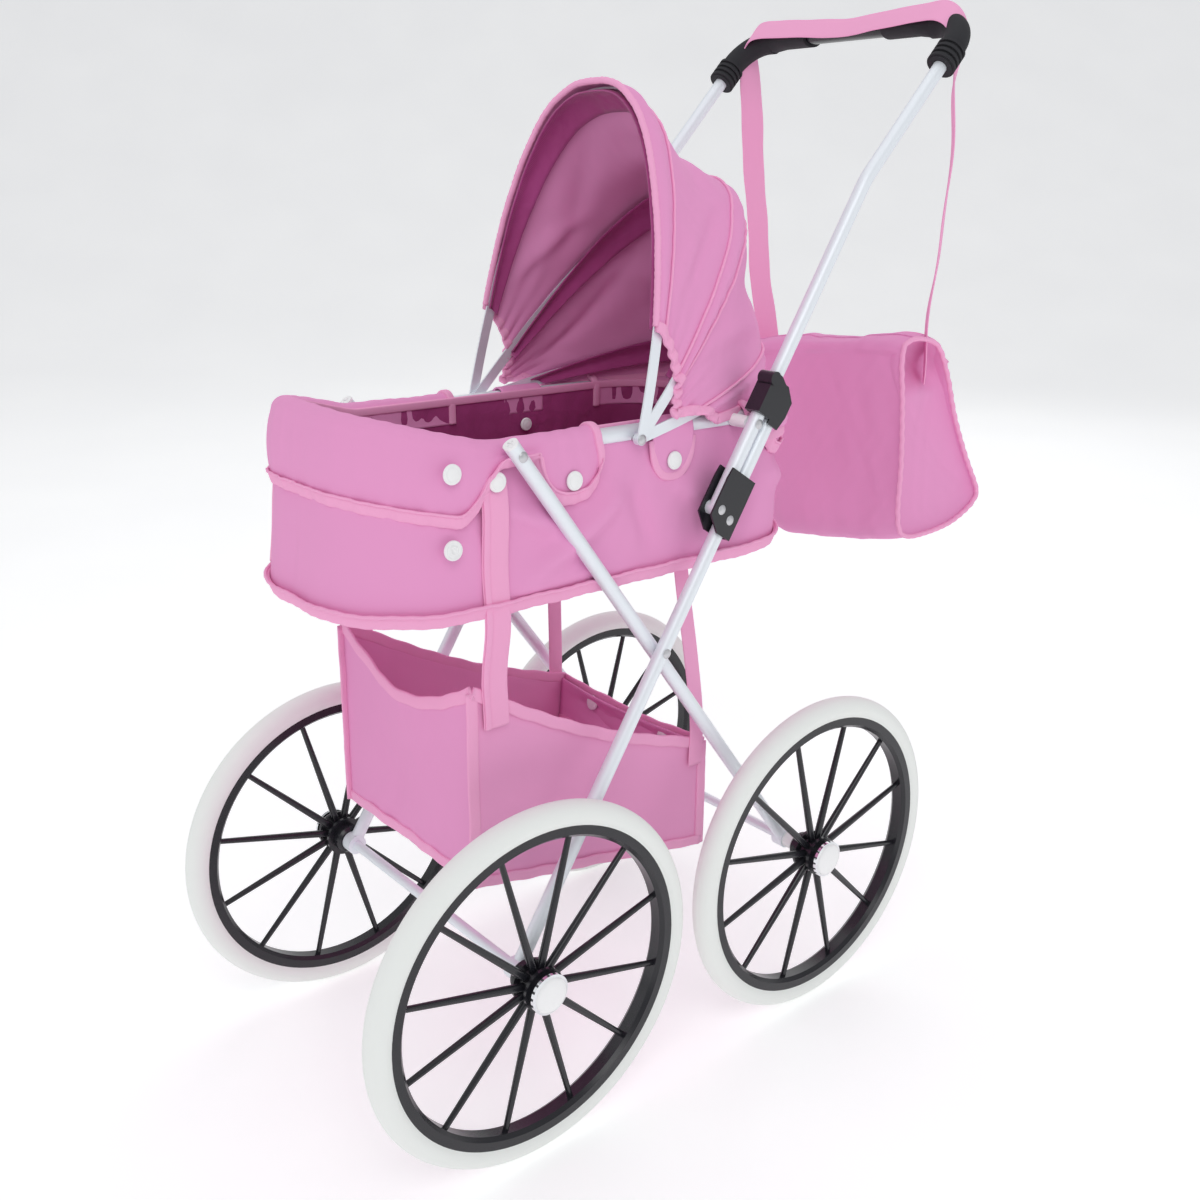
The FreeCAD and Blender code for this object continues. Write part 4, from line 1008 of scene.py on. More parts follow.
def make_hood_trim():
    """Front facing, bow sleeves inside, piping along the front edge and both sleeves, and taped hems."""
    s = props()
    front = s.bow_front + 3.4
    for name, low, high, lift in (("canopy_front_facing", front - 6.6, front - 0.1, -0.0072),
                                  ("canopy_middle_sleeve", s.bow_middle - 3.6, s.bow_middle + 3.6, -0.0098),
                                  ("canopy_rear_sleeve", s.bow_rear - 3.4, s.bow_rear + 3.6, -0.0108)):
        hood_band(name, low, high, lift, "pink_nylon", -0.0012)
    cords = []
    for angle, lift, radius in ((front, -0.0005, 0.0023), (front - 6.7, 0.0010, 0.0010),
                                (s.bow_middle + 3.4, 0.0008, 0.0011), (s.bow_middle - 3.4, 0.0008, 0.0011),
                                (s.bow_rear + 3.4, 0.0008, 0.0011)):
        line = resample(hood_line(angle, lift), 260)
        turn = np.arange(260)
        uneven = 1 + 0.10 * np.sin(turn * 2.1) * np.sin(turn * 0.37)
        section = round_section(radius, 10)[None] * uneven[:, None, None]
        cords.append(sweep("cord", line, [0.05, math.cos(math.radians(angle + 90)),
                                          math.sin(math.radians(angle + 90))],
                           section))
    piping = joined("canopy_piping", cords)
    finish_piece(piping, finish_of("pink_webbing"))
    hood_blend(piping)
    hems = []
    for side in (0, -1):
        grid = hood_grid(90, 170, s.hood_low, front, 0.0004)
        line = grid[:, side] if side == 0 else grid[:, -1]
        inner = grid[:, 2] if side == 0 else grid[:, -3]
        hems.append(sweep("hem", line, inner - line, tape_section(0.0075, 0.0034)))
    low = hood_grid(3, 170, s.hood_low, s.hood_low + 1.0, 0.0004)
    hems.append(sweep("hem", low[0], low[2] - low[0], tape_section(0.0075, 0.0034)))
    hem = joined("canopy_hem", hems)
    finish_piece(hem, finish_of("pink_webbing"))
    hood_blend(hem)


def make_skirt():
    """Rear skirt of the hood: cloth from the rear bow down to the rail's rear end, gathered at its
    corners."""
    s = props()
    cols, rows = 130, 34
    top = resample(hood_grid(3, 200, s.hood_low, s.hood_low + 2.0, -0.0004)[1][18:-18], cols)
    t = np.linspace(0, 1, rows)[:, None, None]
    v = np.linspace(-1, 1, cols)
    out = RAIL_R + 0.0085
    loop = oval(3000, out)
    rear = np.roll(loop, 1500, 0)
    reach = RAIL_PIVOT[1] + 0.024
    rear = rear[rear[:, 1] > reach]
    if rear[0, 0] * top[0, 0] < 0:
        rear = rear[::-1]
    bottom = resample(rear, cols)
    low = np.stack([bottom[:, 0], bottom[:, 1], np.full(cols, RAIL_Z - 0.016)], -1)
    grid = top[None] * (1 - t) + low[None] * t
    bulge = np.sin(np.pi * t[..., 0]) * 0.010
    gathers = 0.0028 * np.sin(v * 34 + 2 * np.sin(v * 5))[None] * (0.35 + 0.65 * t[..., 0])
    push = bulge + gathers + 0.0016 * ripple(v[None] * 14, t[..., 0] * 5, 31)
    plan = unit(grid[..., :2] - [0, RAIL_Y1 - 0.10])
    grid[..., :2] += plan * (push * np.sin(np.pi * np.clip(t[..., 0] * 0.9 + 0.05, 0, 1)))[..., None]
    skirt = surface("canopy_skirt", grid)
    face_outwards(skirt)
    thicken(skirt, 0.0010, 0.0)
    finish_piece(skirt, finish_of("pink_nylon"))
    hood_blend(skirt)
    edge = sweep("canopy_skirt_binding", grid[-1] + [0, 0, 0.001], [0, 0, 1], tape_section(0.0075, 0.0030))
    finish_piece(edge, finish_of("pink_webbing"))
    hood_blend(edge)


# --- the bag ------------------------------------------------------------------

def bag_outline(count):
    """Cross-section of the bag as (y, z) about its own box: flat front, flap over the top, and a belly that
    hangs back at the bottom. A closed Catmull-Rom curve through its corners and mid-sides."""
    lo, hi = BAG_LOW, BAG_HIGH
    depth, tall = hi[1] - lo[1], hi[2] - lo[2]
    shape = np.array([(0.02, 0.93), (0.10, 0.99), (0.26, 0.985), (0.40, 0.94), (0.52, 0.80), (0.64, 0.60),
                      (0.80, 0.40),
                      (0.965, 0.225), (0.985, 0.165), (0.90, 0.11), (0.70, 0.055), (0.45, 0.035), (0.24,
                                                                                                   0.04),
                      (0.14, 0.085), (0.105, 0.20), (0.10, 0.42), (0.065, 0.68)])
    line = spline(shape, count, closed=True)
    return np.stack([lo[1] + line[:, 0] * depth, lo[2] + line[:, 1] * tall], -1)


def bag_lean(x):
    """The bag hangs lower on the stroller's right: a straight shear of its height with x."""
    tilt = props().bag_tilt
    return tilt * x / BAG_HIGH[0]


def make_bag():
    """The soft shell: sections from one end to the other, full in the middle and drawn in at the rims."""
    rows, cols = 150, 240
    outline = bag_outline(cols)
    tilt = props().bag_tilt
    centre = outline.mean(0)
    run = np.linspace(-1, 1, rows)
    x = run * (BAG_HIGH[0] - 0.0008)
    along = np.r_[0, np.cumsum(np.linalg.norm(np.diff(outline, axis=0), axis=1))]
    full = 1 - 0.045 * (1 - (1 - run[:, None] ** 2) ** 0.5 * 1.0) - 0.004
    shape = centre + (outline - centre)[None] * full[..., None]
    shape[..., 1] = lo_shrink(shape[..., 1], tilt)
    normal = outward(outline)
    push = 0.0022 * ripple(run[:, None] * 6, (along * 28)[None], 41)
    push += fold_lines(run[:, None], along[None] * 4, [
        (-0.95, 0.55, -0.30, 0.70, 0.0030, 0.10), (0.30, 0.35, 0.90, 0.20, 0.0035, 0.10),
        (-0.20, 1.40, 0.60, 1.55, -0.0030, 0.12), (-0.85, 1.85, -0.10, 1.60, 0.0030, 0.12)])
    rim = 1 - np.exp(-(1 - np.abs(run[:, None])) / 0.05)
    low = smoothstep((BAG_LOW[2] + 0.06 - outline[:, 1]) / 0.05)
    belly = 0.010 * low[None] * (1 - run[:, None] ** 2)
    push = (push - 0.0018) * rim + belly
    grid = np.empty((rows, cols, 3))
    grid[..., 0] = x[:, None]
    grid[..., 1] = shape[..., 0] + normal[None, :, 0] * push
    grid[..., 2] = shape[..., 1] + normal[None, :, 1] * push + bag_lean(x)[:, None]
    shell = surface("bag_shell", grid, wrap_v=True)
    face_outwards(shell)
    thicken(shell, 0.0012)
    gussets = [bag_gusset(grid[k], side) for k, side in ((0, -1), (-1, 1))]
    body = joined("bag_body_cloth", [shell] + gussets)
    finish_piece(body, finish_of("pink_nylon"), "bag")
    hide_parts("bag_body")
    rims = []
    for k in (0, -1):
        ring = grid[k]
        side = -1.0 if k == 0 else 1.0
        turn = np.arange(cols)
        bend = ring + np.array([side, 0, 0]) * (0.0004 * np.sin(turn * 1.3))[:, None]
        rims.append(sweep("rim", bend, [side, 0, 0], round_section(0.0021, 10), closed=True))
    flap, flap_edge = bag_flap(grid)
    piping = joined("bag_piping", rims + [flap_edge])
    finish_piece(piping, finish_of("pink_webbing"), "bag")
    finish_piece(flap, finish_of("pink_nylon"), "bag")


def lo_shrink(z, tilt):
    """Squeezes heights so that the sheared bag keeps inside its box."""
    lo, hi = BAG_LOW[2], BAG_HIGH[2]
    middle = (lo + hi) / 2
    return middle + (z - middle) * (hi - lo - 2 * tilt) / (hi - lo)


def bag_gusset(ring, side):
    """End panel: the rim's outline drawn in towards its middle, set back like a shallow dish, and creased."""
    cols = 30
    centre = ring.mean(0)
    t = np.linspace(1, 0, cols)[None, :, None]
    grid = centre + (ring[:, None] - centre) * t
    depth = 0.011 * np.sin(np.pi * (1 - t[..., 0]) ** 0.6 * 0.5) ** 0.8
    depth = depth * (1 + 1.9 * smoothstep((grid[..., 2] - centre[2] - 0.045) / 0.03))
    yz = grid[..., 1:]
    crease = 0.0022 * ripple((yz[..., 0]) * 60, yz[..., 1] * 45, 50 + side) * (1 - t[..., 0] ** 4)
    upper = np.clip((grid[..., 2] - centre[2]) / 0.07, 0, 1)
    fold = 0.0035 * np.sin((yz[..., 0] - centre[1]) * 95) * upper * (1 - t[..., 0] ** 6)
    grid[..., 0] -= side * (depth + crease + fold)
    panel = surface("gusset", grid, wrap_u=True)
    face_outwards(panel, 2e-5)
    facing = np.array([face.normal.x * face.area for face in panel.data.polygons]).sum()
    if facing * side < 0:
        panel.data.flip_normals()
    return thicken(panel, 0.0010)


def bag_flap(grid):
    """Flap over the bag's top: it follows the shell just outside it, from the front edge over to the rear,
    and ends in a rounded edge with a taped border."""
    rows = grid.shape[0]
    use = slice(1, rows - 1)
    across = np.linspace(-1, 1, rows - 2)
    steps = 46
    share = np.linspace(0.0, 1.0, steps)[None]
    start, end = 13, 42 + 7 * (1 - np.abs(across[:, None]) ** 5)
    at = start + share * (end - start)
    k = np.floor(at).astype(int)
    part = (at - k)[..., None]
    body = grid[use]
    row = np.arange(rows - 2)[:, None]
    points = body[row, k] * (1 - part) + body[row, k + 1] * part
    centre = grid[use].mean(1)[:, None] * np.ones_like(points)
    away = points - centre
    away[..., 0] = 0
    loose = 0.0004 + 0.0016 * smoothstep(share * 4) + 0.004 * smoothstep((share - 0.6) / 0.4)
    wave = 0.0012 * ripple(across[:, None] * 8, share * 6, 61) * share
    points = points + unit(away) * (loose + wave)[..., None]
    flap = surface("bag_flap", points)
    face_outwards(flap)
    thicken(flap, 0.0012, 0.0)
    edge = sweep("edge", points[:, -1], points[:, -3] - points[:, -1], tape_section(0.0075, 0.0028))
    return flap, edge


def make_bag_strap():
    """One strap: up from the bag's right end, over the front of the crossbar and down to its left end. A
    flat band that leans against the bar and turns about its own line where it hangs."""
    s = props()
    bar_z = BAR[2]
    lean = math.radians(s.strap_lean)
    front, top = -math.sin(lean) * s.strap_rest, math.cos(lean) * s.strap_rest
    over = s.strap_top_x
    low_z = BAG_HIGH[2] - 0.020
    right = [(-0.084, 0.014, low_z - 0.022), (-0.090, 0.012, low_z + 0.02), (-0.099, 0.008, low_z + 0.09),
             (-0.106, 0.003, low_z + 0.16), (-over + 0.002, 0.0, bar_z - 0.045),
             (-over, front * 0.3, bar_z - 0.012), (-over + 0.003, front * 0.7, bar_z + 0.001),
             (-over + 0.014, front, bar_z + top)]
    left = [(-x, y, z) for x, y, z in right[::-1]]
    left[-3:] = [(0.099, 0.009, low_z + 0.09), (0.088, 0.018, low_z + 0.03), (0.0835, 0.022, low_z - 0.024)]
    middle = [(-0.070, front, bar_z + top), (-0.035, front * 0.8, bar_z + top - 0.002),
              (0.0, front * 0.7, bar_z + top - 0.0042), (0.035, front * 0.8, bar_z + top - 0.002),
              (0.074, front, bar_z + top)]
    count = 620
    path = spline(np.array(right + middle + left), count) + [0, BAR[1], 0]
    hang = smoothstep((bar_z - 0.004 - path[:, 2]) / 0.05)
    turn = np.linspace(0, 40, count)
    path[:, 0] += 0.0009 * np.sin(turn * 1.3) * hang
    path[:, 1] += 0.0014 * np.sin(turn * 0.8 + 1) * hang
    twist = np.where(path[:, 0] > 0, -s.strap_twist, 0.45) * hang * (1 + 0.15 * np.sin(turn * 0.7))
    side = np.stack([twist, np.cos(lean * (1 - hang)), np.sin(lean * (1 - hang)) + 0.03 * np.sin(turn)], -1)
    curl = 1 + 0.02 * np.sin(turn * 3.1)
    section = tape_section(s.strap_width, s.strap_thick, 24)[None] * curl[:, None, None]
    strap = sweep("bag_webbing", path, side, section)
    finish_piece(strap, finish_of("pink_webbing"), "bag")
    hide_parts("bag_strap")


# --- the basket ---------------------------------------------------------------

def basket_edge(y):
    """Top and bottom heights of the basket's side at y: both run down in a straight line to the rear."""
    t = (y - BASKET_LOW[1]) / (BASKET_HIGH[1] - BASKET_LOW[1])
    s = props()
    top = BASKET_HIGH[2] + (s.basket_rear_top - BASKET_HIGH[2] + BASKET_LOW[2]) * t
    low = BASKET_LOW[2] + s.basket_front_low * (1 - t)
    return top, low


def tape_line(points, width, normal=None, thick=0.0026):
    """A flat tape along a line of points, its width pointing down."""
    line = resample(np.asarray(points, float), max(16, len(points)))
    arc = np.arange(len(line))
    line = line + np.stack([0 * arc, 0 * arc, 0.0004 * np.sin(arc * 0.9)], -1)
    return sweep("tape", line, [0, 0, 1], tape_section(width, thick), normal=normal)


def basket_side(side):
    """One side of the basket: a net panel between taped edges, with a solid strip along its top and front."""
    x = side * (BASKET_HIGH[0] - 0.0012)
    y = np.linspace(BASKET_LOW[1] + 0.004, BASKET_HIGH[1] - 0.003, 60)
    top, low = basket_edge(y)
    t = np.linspace(0, 1, 40)[None]
    sag = 0.010 * np.sin(np.pi * (y - y[0]) / (y[-1] - y[0])) ** 1.0
    top = top - sag
    grid = np.empty((60, 40, 3))
    grid[..., 1] = y[:, None]
    grid[..., 2] = (top[:, None] * (1 - t) + low[:, None] * t)
    bow = 0.006 * np.sin(np.pi * t) * np.sin(np.pi * (y - y[0]) / (y[-1] - y[0]))[:, None]
    wave = 0.0012 * ripple(y[:, None] * 50, grid[..., 2] * 45, 71 + side)
    grid[..., 0] = x - side * (bow + np.abs(wave))
    net = surface("basket_net_" + ("left" if side > 0 else "right"), grid)
    face_outwards(net)
    out = np.tile([float(side), 0, 0], (60, 1))
    edges = [tape_line(grid[:, 0] + [side * 0.0006, 0, 0], 0.009, out),
             tape_line(grid[:, -1] + [side * 0.0006, 0, 0.003], 0.008, out)]
    for k in (0, -1):
        edges.append(sweep("tape", grid[k], [0, 1, 0], tape_section(0.009, 0.0026)))
    return net, edges, grid


def basket_panel(corners, sag, seed, rows=44, cols=50):
    """A cloth panel between four corners (top left, top right, bottom right, bottom left), its top edge
    sagging by sag in the middle and the cloth rippling across it."""
    a, b, c, d = (np.asarray(corner, float) for corner in corners)
    u = np.linspace(0, 1, rows)[:, None, None]
    v = np.linspace(0, 1, cols)[None, :, None]
    grid = (a * (1 - u) + b * u) * (1 - v) + (d * (1 - u) + c * u) * v
    grid = grid - np.array([0, 0, 1.0]) * sag * np.sin(np.pi * u) * (1 - v)
    out = unit(np.cross(b - a, d - a))
    push = 0.0045 * np.sin(np.pi * u[..., 0]) * np.sin(np.pi * v[..., 0])
    push = push + 0.0022 * ripple(u[..., 0] * 7, v[..., 0] * 6, seed) * np.sin(np.pi * u[..., 0]) ** 0.4
    return grid + out * push[..., None]


def make_basket():
    """Front panel, net sides, floor and rear panel with its folded flap, all bound with tape."""
    x = BASKET_HIGH[0] - 0.0012
    pieces, tapes = [], []
    for side in (-1, 1):
        net, edges, grid = basket_side(side)
        finish_piece(net, finish_of("pink_mesh"), "bassinet")
        tapes += edges
    front_y, rear_y = BASKET_LOW[1] + 0.004, BASKET_HIGH[1] - 0.003
    top, low = basket_edge(np.array([front_y, rear_y]))
    front = basket_panel([(-x, front_y, top[0]), (x, front_y, top[0]), (x, front_y, low[0]),
                                   (-x, front_y, low[0])], 0.030, 81)
    rear = basket_panel([(x, rear_y, top[1]), (-x, rear_y, top[1]), (-x, rear_y, low[1]),
                                 (x, rear_y, low[1])], 0.004, 82)
    floor = basket_panel([(-x, front_y, low[0]), (x, front_y, low[0]), (x, rear_y, low[1]),
                                   (-x, rear_y, low[1])], 0.0, 83)
    for name, grid in (("basket_front", front), ("basket_rear", rear), ("basket_floor", floor)):
        panel = surface(name, grid)
        face_outwards(panel)
        thicken(panel, 0.0012, 0.0)
        pieces.append(panel)
    flap = basket_panel([(-x, rear_y + 0.0005, top[1] + 0.001), (x, rear_y + 0.0005, top[1] + 0.001),
                                 (x * 0.96, rear_y - 0.004, top[1] - 0.034), (-x * 0.96, rear_y - 0.004,
                                                                              top[1] - 0.034)],
                        0.004, 84, 44, 16)
    flap[..., 1] -= 0.004
    fold = surface("basket_flap", flap)
    face_outwards(fold)
    thicken(fold, 0.0014, 0.0)
    pieces.append(fold)
    cloth = joined("basket_cloth", pieces)
    finish_piece(cloth, finish_of("pink_nylon"), "bassinet")
    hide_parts("basket")
    out = np.tile([0, -1.0, 0], (44, 1))
    tapes.append(tape_line(front[:, 0] + [0, -0.0005, 0], 0.0095, out))
    tapes.append(tape_line(front[:, -1] + [0, -0.0005, 0.003], 0.0085, out))
    tapes.append(tape_line(rear[:, 0] + [0, 0.0005, 0], 0.008, -out))
    tapes.append(tape_line(rear[:, -1] + [0, 0.0005, 0.003], 0.008, -out))
    tapes.append(tape_line(flap[:, -1] - [0, 0.0005, 0], 0.006, out))
    binding = joined("basket_binding", tapes)
    finish_piece(binding, finish_of("pink_webbing"), "bassinet")


def make_basket_straps():
    """The four hanging straps: front ones over the tub's side from the cuff's stud, rear ones under the
    tub."""
    low, high = (np.array(corner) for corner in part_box("basket_straps"))
    s = props()
    y = low[1] + s.strap_width / 2
    out = high[0] - s.strap_thick / 2
    net_x = BASKET_HIGH[0] + 0.0006
    pieces = []
    for side in (-1, 1):
        line = [(out - 0.0010, y, high[2] - 0.002), (out + 0.0004, y, high[2] - 0.022), (out, y,
                                                                                         high[2] - 0.060),
                (out - 0.0006, y + 0.001, high[2] - 0.098), (net_x + 0.003, y + 0.002, high[2] - 0.125),
                (net_x, y + 0.003, BASKET_HIGH[2] - 0.002), (net_x, y + 0.004, BASKET_HIGH[2] - 0.030)]
        path = spline(np.array(line) * [side, 1, 1], 120)
        turn = np.linspace(0, 9, 120)
        path[:, 0] += side * 0.0006 * np.sin(turn * 1.7)
        pieces.append(sweep("strap", path, [0.05 * side, 1, 0], tape_section(s.strap_width, s.strap_thick,
                                                                             24)))
        edge = path + np.stack([np.full(120, side * 0.0009), np.full(120, -s.strap_width / 2 + 0.0030),
                                np.zeros(120)], -1)
        pieces.append(sweep("hem", edge, [0, 1, 0], tape_section(0.0046, 0.0014)))
        rear_y = BASKET_HIGH[1] - 0.012
        top = basket_edge(rear_y)[0]
        back = spline(np.array([(net_x, rear_y, top - 0.02), (net_x, rear_y, top + 0.02),
                                (net_x - 0.004, rear_y - 0.004, top + 0.07), (0.080, rear_y - 0.008,
                                                                              TUB_LOW[2] - 0.03),
                                (0.074, rear_y - 0.008, TUB_LOW[2] + 0.0006)]) * [side, 1, 1], 90)
        pieces.append(sweep("strap", back, [0, 1, 0], tape_section(s.strap_width * 0.7, s.strap_thick, 20)))
    straps = joined("basket_webbing", pieces)
    finish_piece(straps, finish_of("pink_webbing"), "bassinet")
    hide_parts("basket_straps")


# --- the frame's own pieces ---------------------------------------------------

def paint_frame():
    """Finishes of every piece that comes from the frame, by its slot in the record."""
    slots = {part["node"]: part["material_slot"] for part in frame["record"]["subparts"]}
    for name, piece in frame["nodes"].items():
        piece.data.materials.clear()
        piece.data.materials.append(finish_of(slots[name]))
        piece.data.polygons.foreach_set("use_smooth", np.full(len(piece.data.polygons), True))


# --- the stage ----------------------------------------------------------------

def make_stage():
    """Pale floor, soft lights and the camera."""
    s = props()
    paper = bpy.data.materials.new("floor_paper")
    paper.use_nodes = True
    t = Tree(paper.node_tree)
    cover = next(n for n in paper.node_tree.nodes if n.type == "BSDF_PRINCIPLED")
    place = t.node("ShaderNodeTexCoord")
    grain = t.noise(place.outputs["Object"], 3.0, 3.0, 0.5)
    t.put(cover.inputs["Base Color"], t.mix(t.ramp(grain, 0.3, 0.7), (0.86, 0.86, 0.865, 1), (0.90, 0.90,
                                                                                              0.90, 1)))
    t.put(cover.inputs["Roughness"], t.ramp(grain, 0.3, 0.7, 0.55, 0.7))
    cover.inputs["Emission Color"].default_value = (1.0, 1.0, 1.0, 1.0)
    cover.inputs["Emission Strength"].default_value = 0.32
    span = 14.0
    u = np.linspace(-span, span, 60)
    v = np.linspace(-span, span, 90)
    uu, vv = np.meshgrid(u, v, indexing="ij")
    rise = np.clip(vv - 3.0, 0, None)
    grid = np.stack([uu, vv, 0.35 * rise ** 2 / (1 + 0.25 * rise)], -1)
    turn = math.radians(s.camera_yaw)
    spun = grid.copy()
    spun[..., 0] = grid[..., 0] * math.cos(turn) - grid[..., 1] * math.sin(turn)
    spun[..., 1] = grid[..., 0] * math.sin(turn) + grid[..., 1] * math.cos(turn)
    floor = surface("stage_floor", spun)
    floor.data.materials.append(paper)

    a, e, r = (math.radians(v) for v in (s.camera_yaw, s.camera_pitch, s.camera_roll))
    right = np.array([math.cos(a), math.sin(a), 0])
    back = np.array([math.sin(a) * math.cos(e), -math.cos(a) * math.cos(e), math.sin(e)])
    up = np.cross(back, right)
    side = right * math.cos(r) + up * math.sin(r)
    over = up * math.cos(r) - right * math.sin(r)
    lens = bpy.data.cameras.new("camera")
    lens.lens = s.camera_lens
    lens.sensor_width = 36.0
    lens.clip_start = 0.01
    camera = bpy.data.objects.new("camera", lens)
    place = (s.camera_place[0], AXLE_MID + s.camera_place[1], s.camera_place[2])
    camera.matrix_world = Matrix([[side[k], over[k], back[k], place[k]] for k in range(3)] + [[0, 0, 0, 1]])
    bpy.context.scene.collection.objects.link(camera)
    bpy.context.scene.camera = camera

    world = bpy.data.worlds.new("studio")
    world.use_nodes = True
    world.node_tree.nodes["Background"].inputs[0].default_value = (0.95, 0.97, 1.0, 1)
    world.node_tree.nodes["Background"].inputs[1].default_value = s.sky
    bpy.context.scene.world = world
    target = Vector((0, 0, 0.45))
    for name, power, size, place in (("key", 62.0, 1.9, (1.9, -1.5, 2.5)), ("fill", 26.0, 2.6, (-1.2, -2.6,
                                                                                                1.5)),
                                     ("top", 40.0, 2.6, (-0.3, 0.3, 3.0)), ("back", 22.0, 2.0, (-1.6, 2.2,
                                                                                                1.7)),
                                     ("side", 16.0, 2.0, (2.6, 1.4, 1.2))):
        light = bpy.data.lights.new(name, "AREA")
        light.energy = power * s.lamp_power
        light.size = size
        lamp = bpy.data.objects.new(name, light)
        spot = Vector(place)
        lamp.location = spot
        lamp.rotation_euler = (spot - target).to_track_quat("Z", "Y").to_euler()
        bpy.context.scene.collection.objects.link(lamp)
    bpy.context.scene.view_settings.view_transform = "Standard"


# --- sizes and colours --------------------------------------------------------

def length(name, about, value):
    return FloatProperty(name=name, description=about, default=value, unit="LENGTH", precision=4)


def number(name, about, value):
    return FloatProperty(name=name, description=about, default=value)


def colour(name, about, value):
    return FloatVectorProperty(name=name, description=about, default=value, subtype="COLOR", min=0, max=1)


class StrollerSizes(bpy.types.PropertyGroup):
    front_corner: length("Front corners", "Radius of the rail's front corners", 0.066)
    rear_corner: length("Rear corners", "Radius of the rail's rear corners", 0.060)
    rise_start: length("Rise start", "Where the rail starts to climb, from the wheelbase's middle", -0.138)
    tub_out: length("Tub fullness", "How far the tub's wall stands outside the rail's centre line", 0.009)
    tub_creases: number("Tub creases", "Depth of the tub's creases, 1 is as they are listed", 1.6)
    tub_flare: length("Tub flare", "How much further forward the tub's floor reaches", 0.010)
    tub_edge_r: length("Tub edge", "Radius of the tub's lower edge", 0.010)
    lining_gap: length("Lining gap", "How far inside the rail's centre line the lining stands", 0.0088)
    lining_rise: length("Lining rise", "How far the lining's edge stands over the rail's centre line", 0.0052)
    seam_x: length("Seam place", "Distance of the front seams from the middle plane", 0.072)
    cuff_pad: length("Cuff padding", "Thickness of the padding over the rail", 0.0034)
    cuff_inner: length("Cuff inside", "How far the cuff hangs inside the rail", 0.014)
    cuff_drop: length("Cuff outside", "How far the cuff hangs outside the rail at the front", 0.039)
    net_pitch: length("Net pitch", "Distance between the threads of the net", 0.0030)
    strap_width: length("Strap width", "Width of the webbing", 0.020)
    strap_thick: length("Strap thickness", "Thickness of the webbing", 0.0017)
    strap_lean: FloatProperty(name="Strap lean",
                              description="How far the strap leans to the front of the crossbar",
                              default=48.0)
    strap_rest: length("Strap rest", "Distance of the strap from the crossbar's middle line", 0.0128)
    strap_twist: number("Strap twist", "Turn of the left hanging end about its own line, as a slope", 0.75)
    strap_top_x: length("Strap at the bar", "Where the strap turns down over the crossbar", 0.1085)
    bag_tilt: length("Bag tilt", "How much lower the bag's right end hangs than its middle", 0.009)
    basket_rear_top: length("Basket rear", "Height of the basket's rear wall", 0.088)
    basket_front_low: length("Basket floor slope", "How much higher the basket's floor is at its front",
                             0.042)
    hood_half_w: length("Hood half width", "Half width of the hood", 0.1030)
    arch_power: number("Hood squareness", "Power of the hood's arch, under 1 for squarer shoulders", 0.8)
    arch_front: length("Front arch", "Height of the hood at its front bow", 0.2335)
    arch_middle: length("Middle arch", "Height of the hood at its middle bow", 0.2215)
    arch_rear: length("Rear arch", "Height of the hood at its rear bow", 0.1890)
    sag: length("Hood sag", "How far the cloth sags between the bows", 0.0195)
    bow_front: number("Front bow angle", "Degrees above the rail", 77.0)
    bow_middle: number("Middle bow angle", "Degrees above the rail", 47.0)
    bow_rear: number("Rear bow angle", "Degrees above the rail", 12.0)
    hood_low: number("Hood rear edge", "Angle of the hood's rear edge in degrees", 4.0)
    blend_angle: number("Fold middle", "Angle in degrees that the hood's cloth folds about", 44.5)
    blend_reach: length("Fold reach", "Distance over which the hood's cloth takes up the fold", 0.110)
    camera_place: FloatVectorProperty(name="Camera",
                                      description="Place of the camera, from the wheelbase's middle",
                                      default=(0.7235, -0.581, 0.6528), subtype="TRANSLATION", unit="LENGTH")
    camera_yaw: number("Camera yaw", "Degrees round the vertical", 50.0)
    camera_pitch: number("Camera pitch", "Degrees below the horizontal", 18.267)
    camera_roll: number("Camera roll", "Degrees about the view", 0.458)
    camera_lens: number("Lens", "Focal length in millimetres", 37.55)
    sky: number("Sky", "Strength of the even light from all round", 0.46)
    lamp_power: number("Lamps", "Strength of the soft lamps", 0.40)


class StrollerColours(bpy.types.PropertyGroup):
    nylon: colour("Nylon", "Lit side of the pink nylon", (0.53, 0.082, 0.31))
    # nylon_shade is painted shade: a darker copy of the nylon colour, not a second dye
    nylon_shade: colour("Nylon shade", "Deeper areas of the pink nylon", (0.40, 0.050, 0.21))
    tape: colour("Tape", "Webbing and binding", (0.66, 0.085, 0.27))
    net: colour("Net", "Threads of the net", (0.66, 0.36, 0.50))
    frame: colour("Frame", "Bluish white powder coat", (0.52, 0.60, 0.66))
    tyre: colour("Tyre", "Off-white tyre", (0.66, 0.70, 0.66))
    black: colour("Black", "Rims, hubs and handle", (0.004, 0.004, 0.0045))


# --- operators ----------------------------------------------------------------

class StrollerStage(bpy.types.Operator):
    """Floor, lights and camera"""
    bl_idname = "stroller.stage"
    bl_label = "Stage"

    def execute(self, context):
        make_stage()
        return {"FINISHED"}


class StrollerFinishes(bpy.types.Operator):
    """Materials of every finish, and the frame's own pieces painted with them"""
    bl_idname = "stroller.finishes"
    bl_label = "Finishes"

    def execute(self, context):
        cloth_group()
        tape_group()
        wear_group()
        make_materials()
        paint_frame()
        return {"FINISHED"}


class StrollerTub(bpy.types.Operator):
    """Fabric tub of the bassinet with its bindings and floor pad"""
    bl_idname = "stroller.tub"
    bl_label = "Tub"

    def execute(self, context):
        grid = make_tub()
        make_tub_trim(grid)
        make_lining()
        make_floor_pad()
        return {"FINISHED"}


class StrollerCuffs(bpy.types.Operator):
    """Padded cuffs over the rail and their press studs"""
    bl_idname = "stroller.cuffs"
    bl_label = "Cuffs and studs"

    def execute(self, context):
        make_cuffs()
        make_studs()
        return {"FINISHED"}


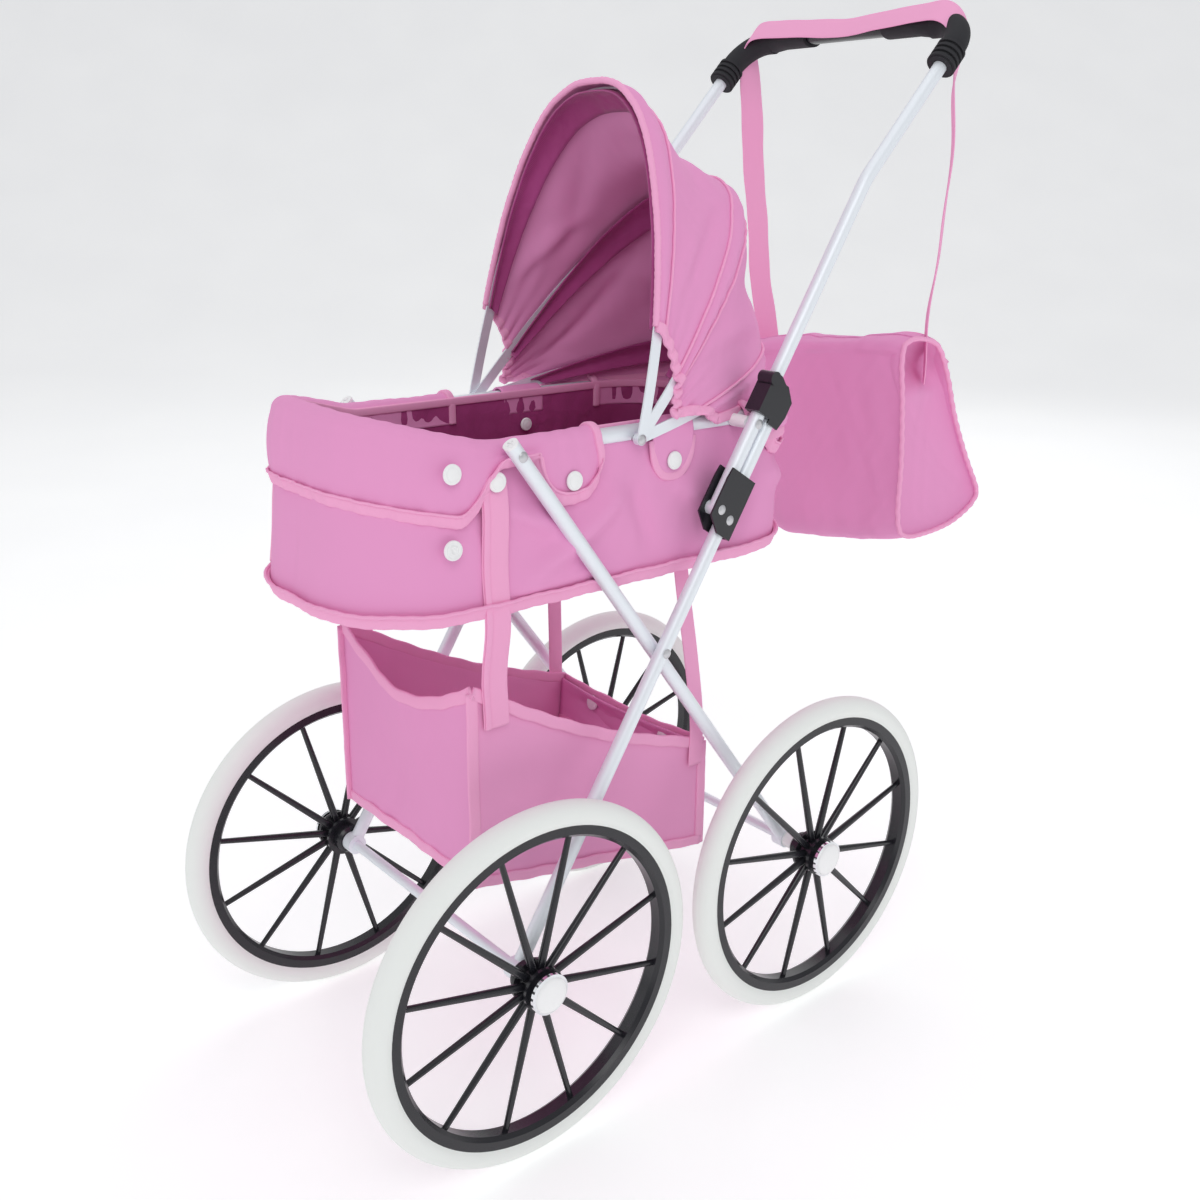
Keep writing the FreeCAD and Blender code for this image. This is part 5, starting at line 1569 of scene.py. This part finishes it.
class StrollerHood(bpy.types.Operator):
    """Hood over its three bows, with facings, piping, hems and the rear skirt"""
    bl_idname = "stroller.hood"
    bl_label = "Hood"

    def execute(self, context):
        make_hood()
        make_hood_trim()
        make_skirt()
        return {"FINISHED"}


class StrollerBag(bpy.types.Operator):
    """Soft bag with its end panels, flap and shoulder strap"""
    bl_idname = "stroller.bag"
    bl_label = "Bag"

    def execute(self, context):
        make_bag()
        make_bag_strap()
        return {"FINISHED"}


class StrollerBasket(bpy.types.Operator):
    """Basket under the tub, with its net sides and straps"""
    bl_idname = "stroller.basket"
    bl_label = "Basket"

    def execute(self, context):
        make_basket()
        make_basket_straps()
        return {"FINISHED"}


OPERATORS = (StrollerStage, StrollerFinishes, StrollerTub, StrollerCuffs, StrollerHood, StrollerBag,
             StrollerBasket)


class StrollerPanel(bpy.types.Panel):
    """Buttons for each group of pieces, and the sizes and colours"""
    bl_idname = "VIEW3D_PT_stroller"
    bl_label = "Doll stroller"
    bl_space_type = "VIEW_3D"
    bl_region_type = "UI"
    bl_category = "Stroller"

    def draw(self, context):
        for step in OPERATORS:
            self.layout.operator(step.bl_idname)
        for settings in (props(), hues()):
            box = self.layout.box()
            for name in settings.bl_rna.properties.keys():
                if name not in {"rna_type", "name"}:
                    box.prop(settings, name)


CLASSES = (StrollerSizes, StrollerColours) + OPERATORS + (StrollerPanel,)


def register():
    for kind in CLASSES:
        bpy.utils.register_class(kind)
    bpy.types.Scene.stroller_sizes = PointerProperty(type=StrollerSizes)
    bpy.types.Scene.stroller_colours = PointerProperty(type=StrollerColours)


def unregister():
    del bpy.types.Scene.stroller_colours
    del bpy.types.Scene.stroller_sizes
    for kind in reversed(CLASSES):
        bpy.utils.unregister_class(kind)


def main():
    register()
    bpy.ops.stroller.stage()
    bpy.ops.stroller.finishes()
    bpy.ops.stroller.tub()
    bpy.ops.stroller.cuffs()
    bpy.ops.stroller.hood()
    bpy.ops.stroller.bag()
    bpy.ops.stroller.basket()


if __name__ == "__main__":
    main()
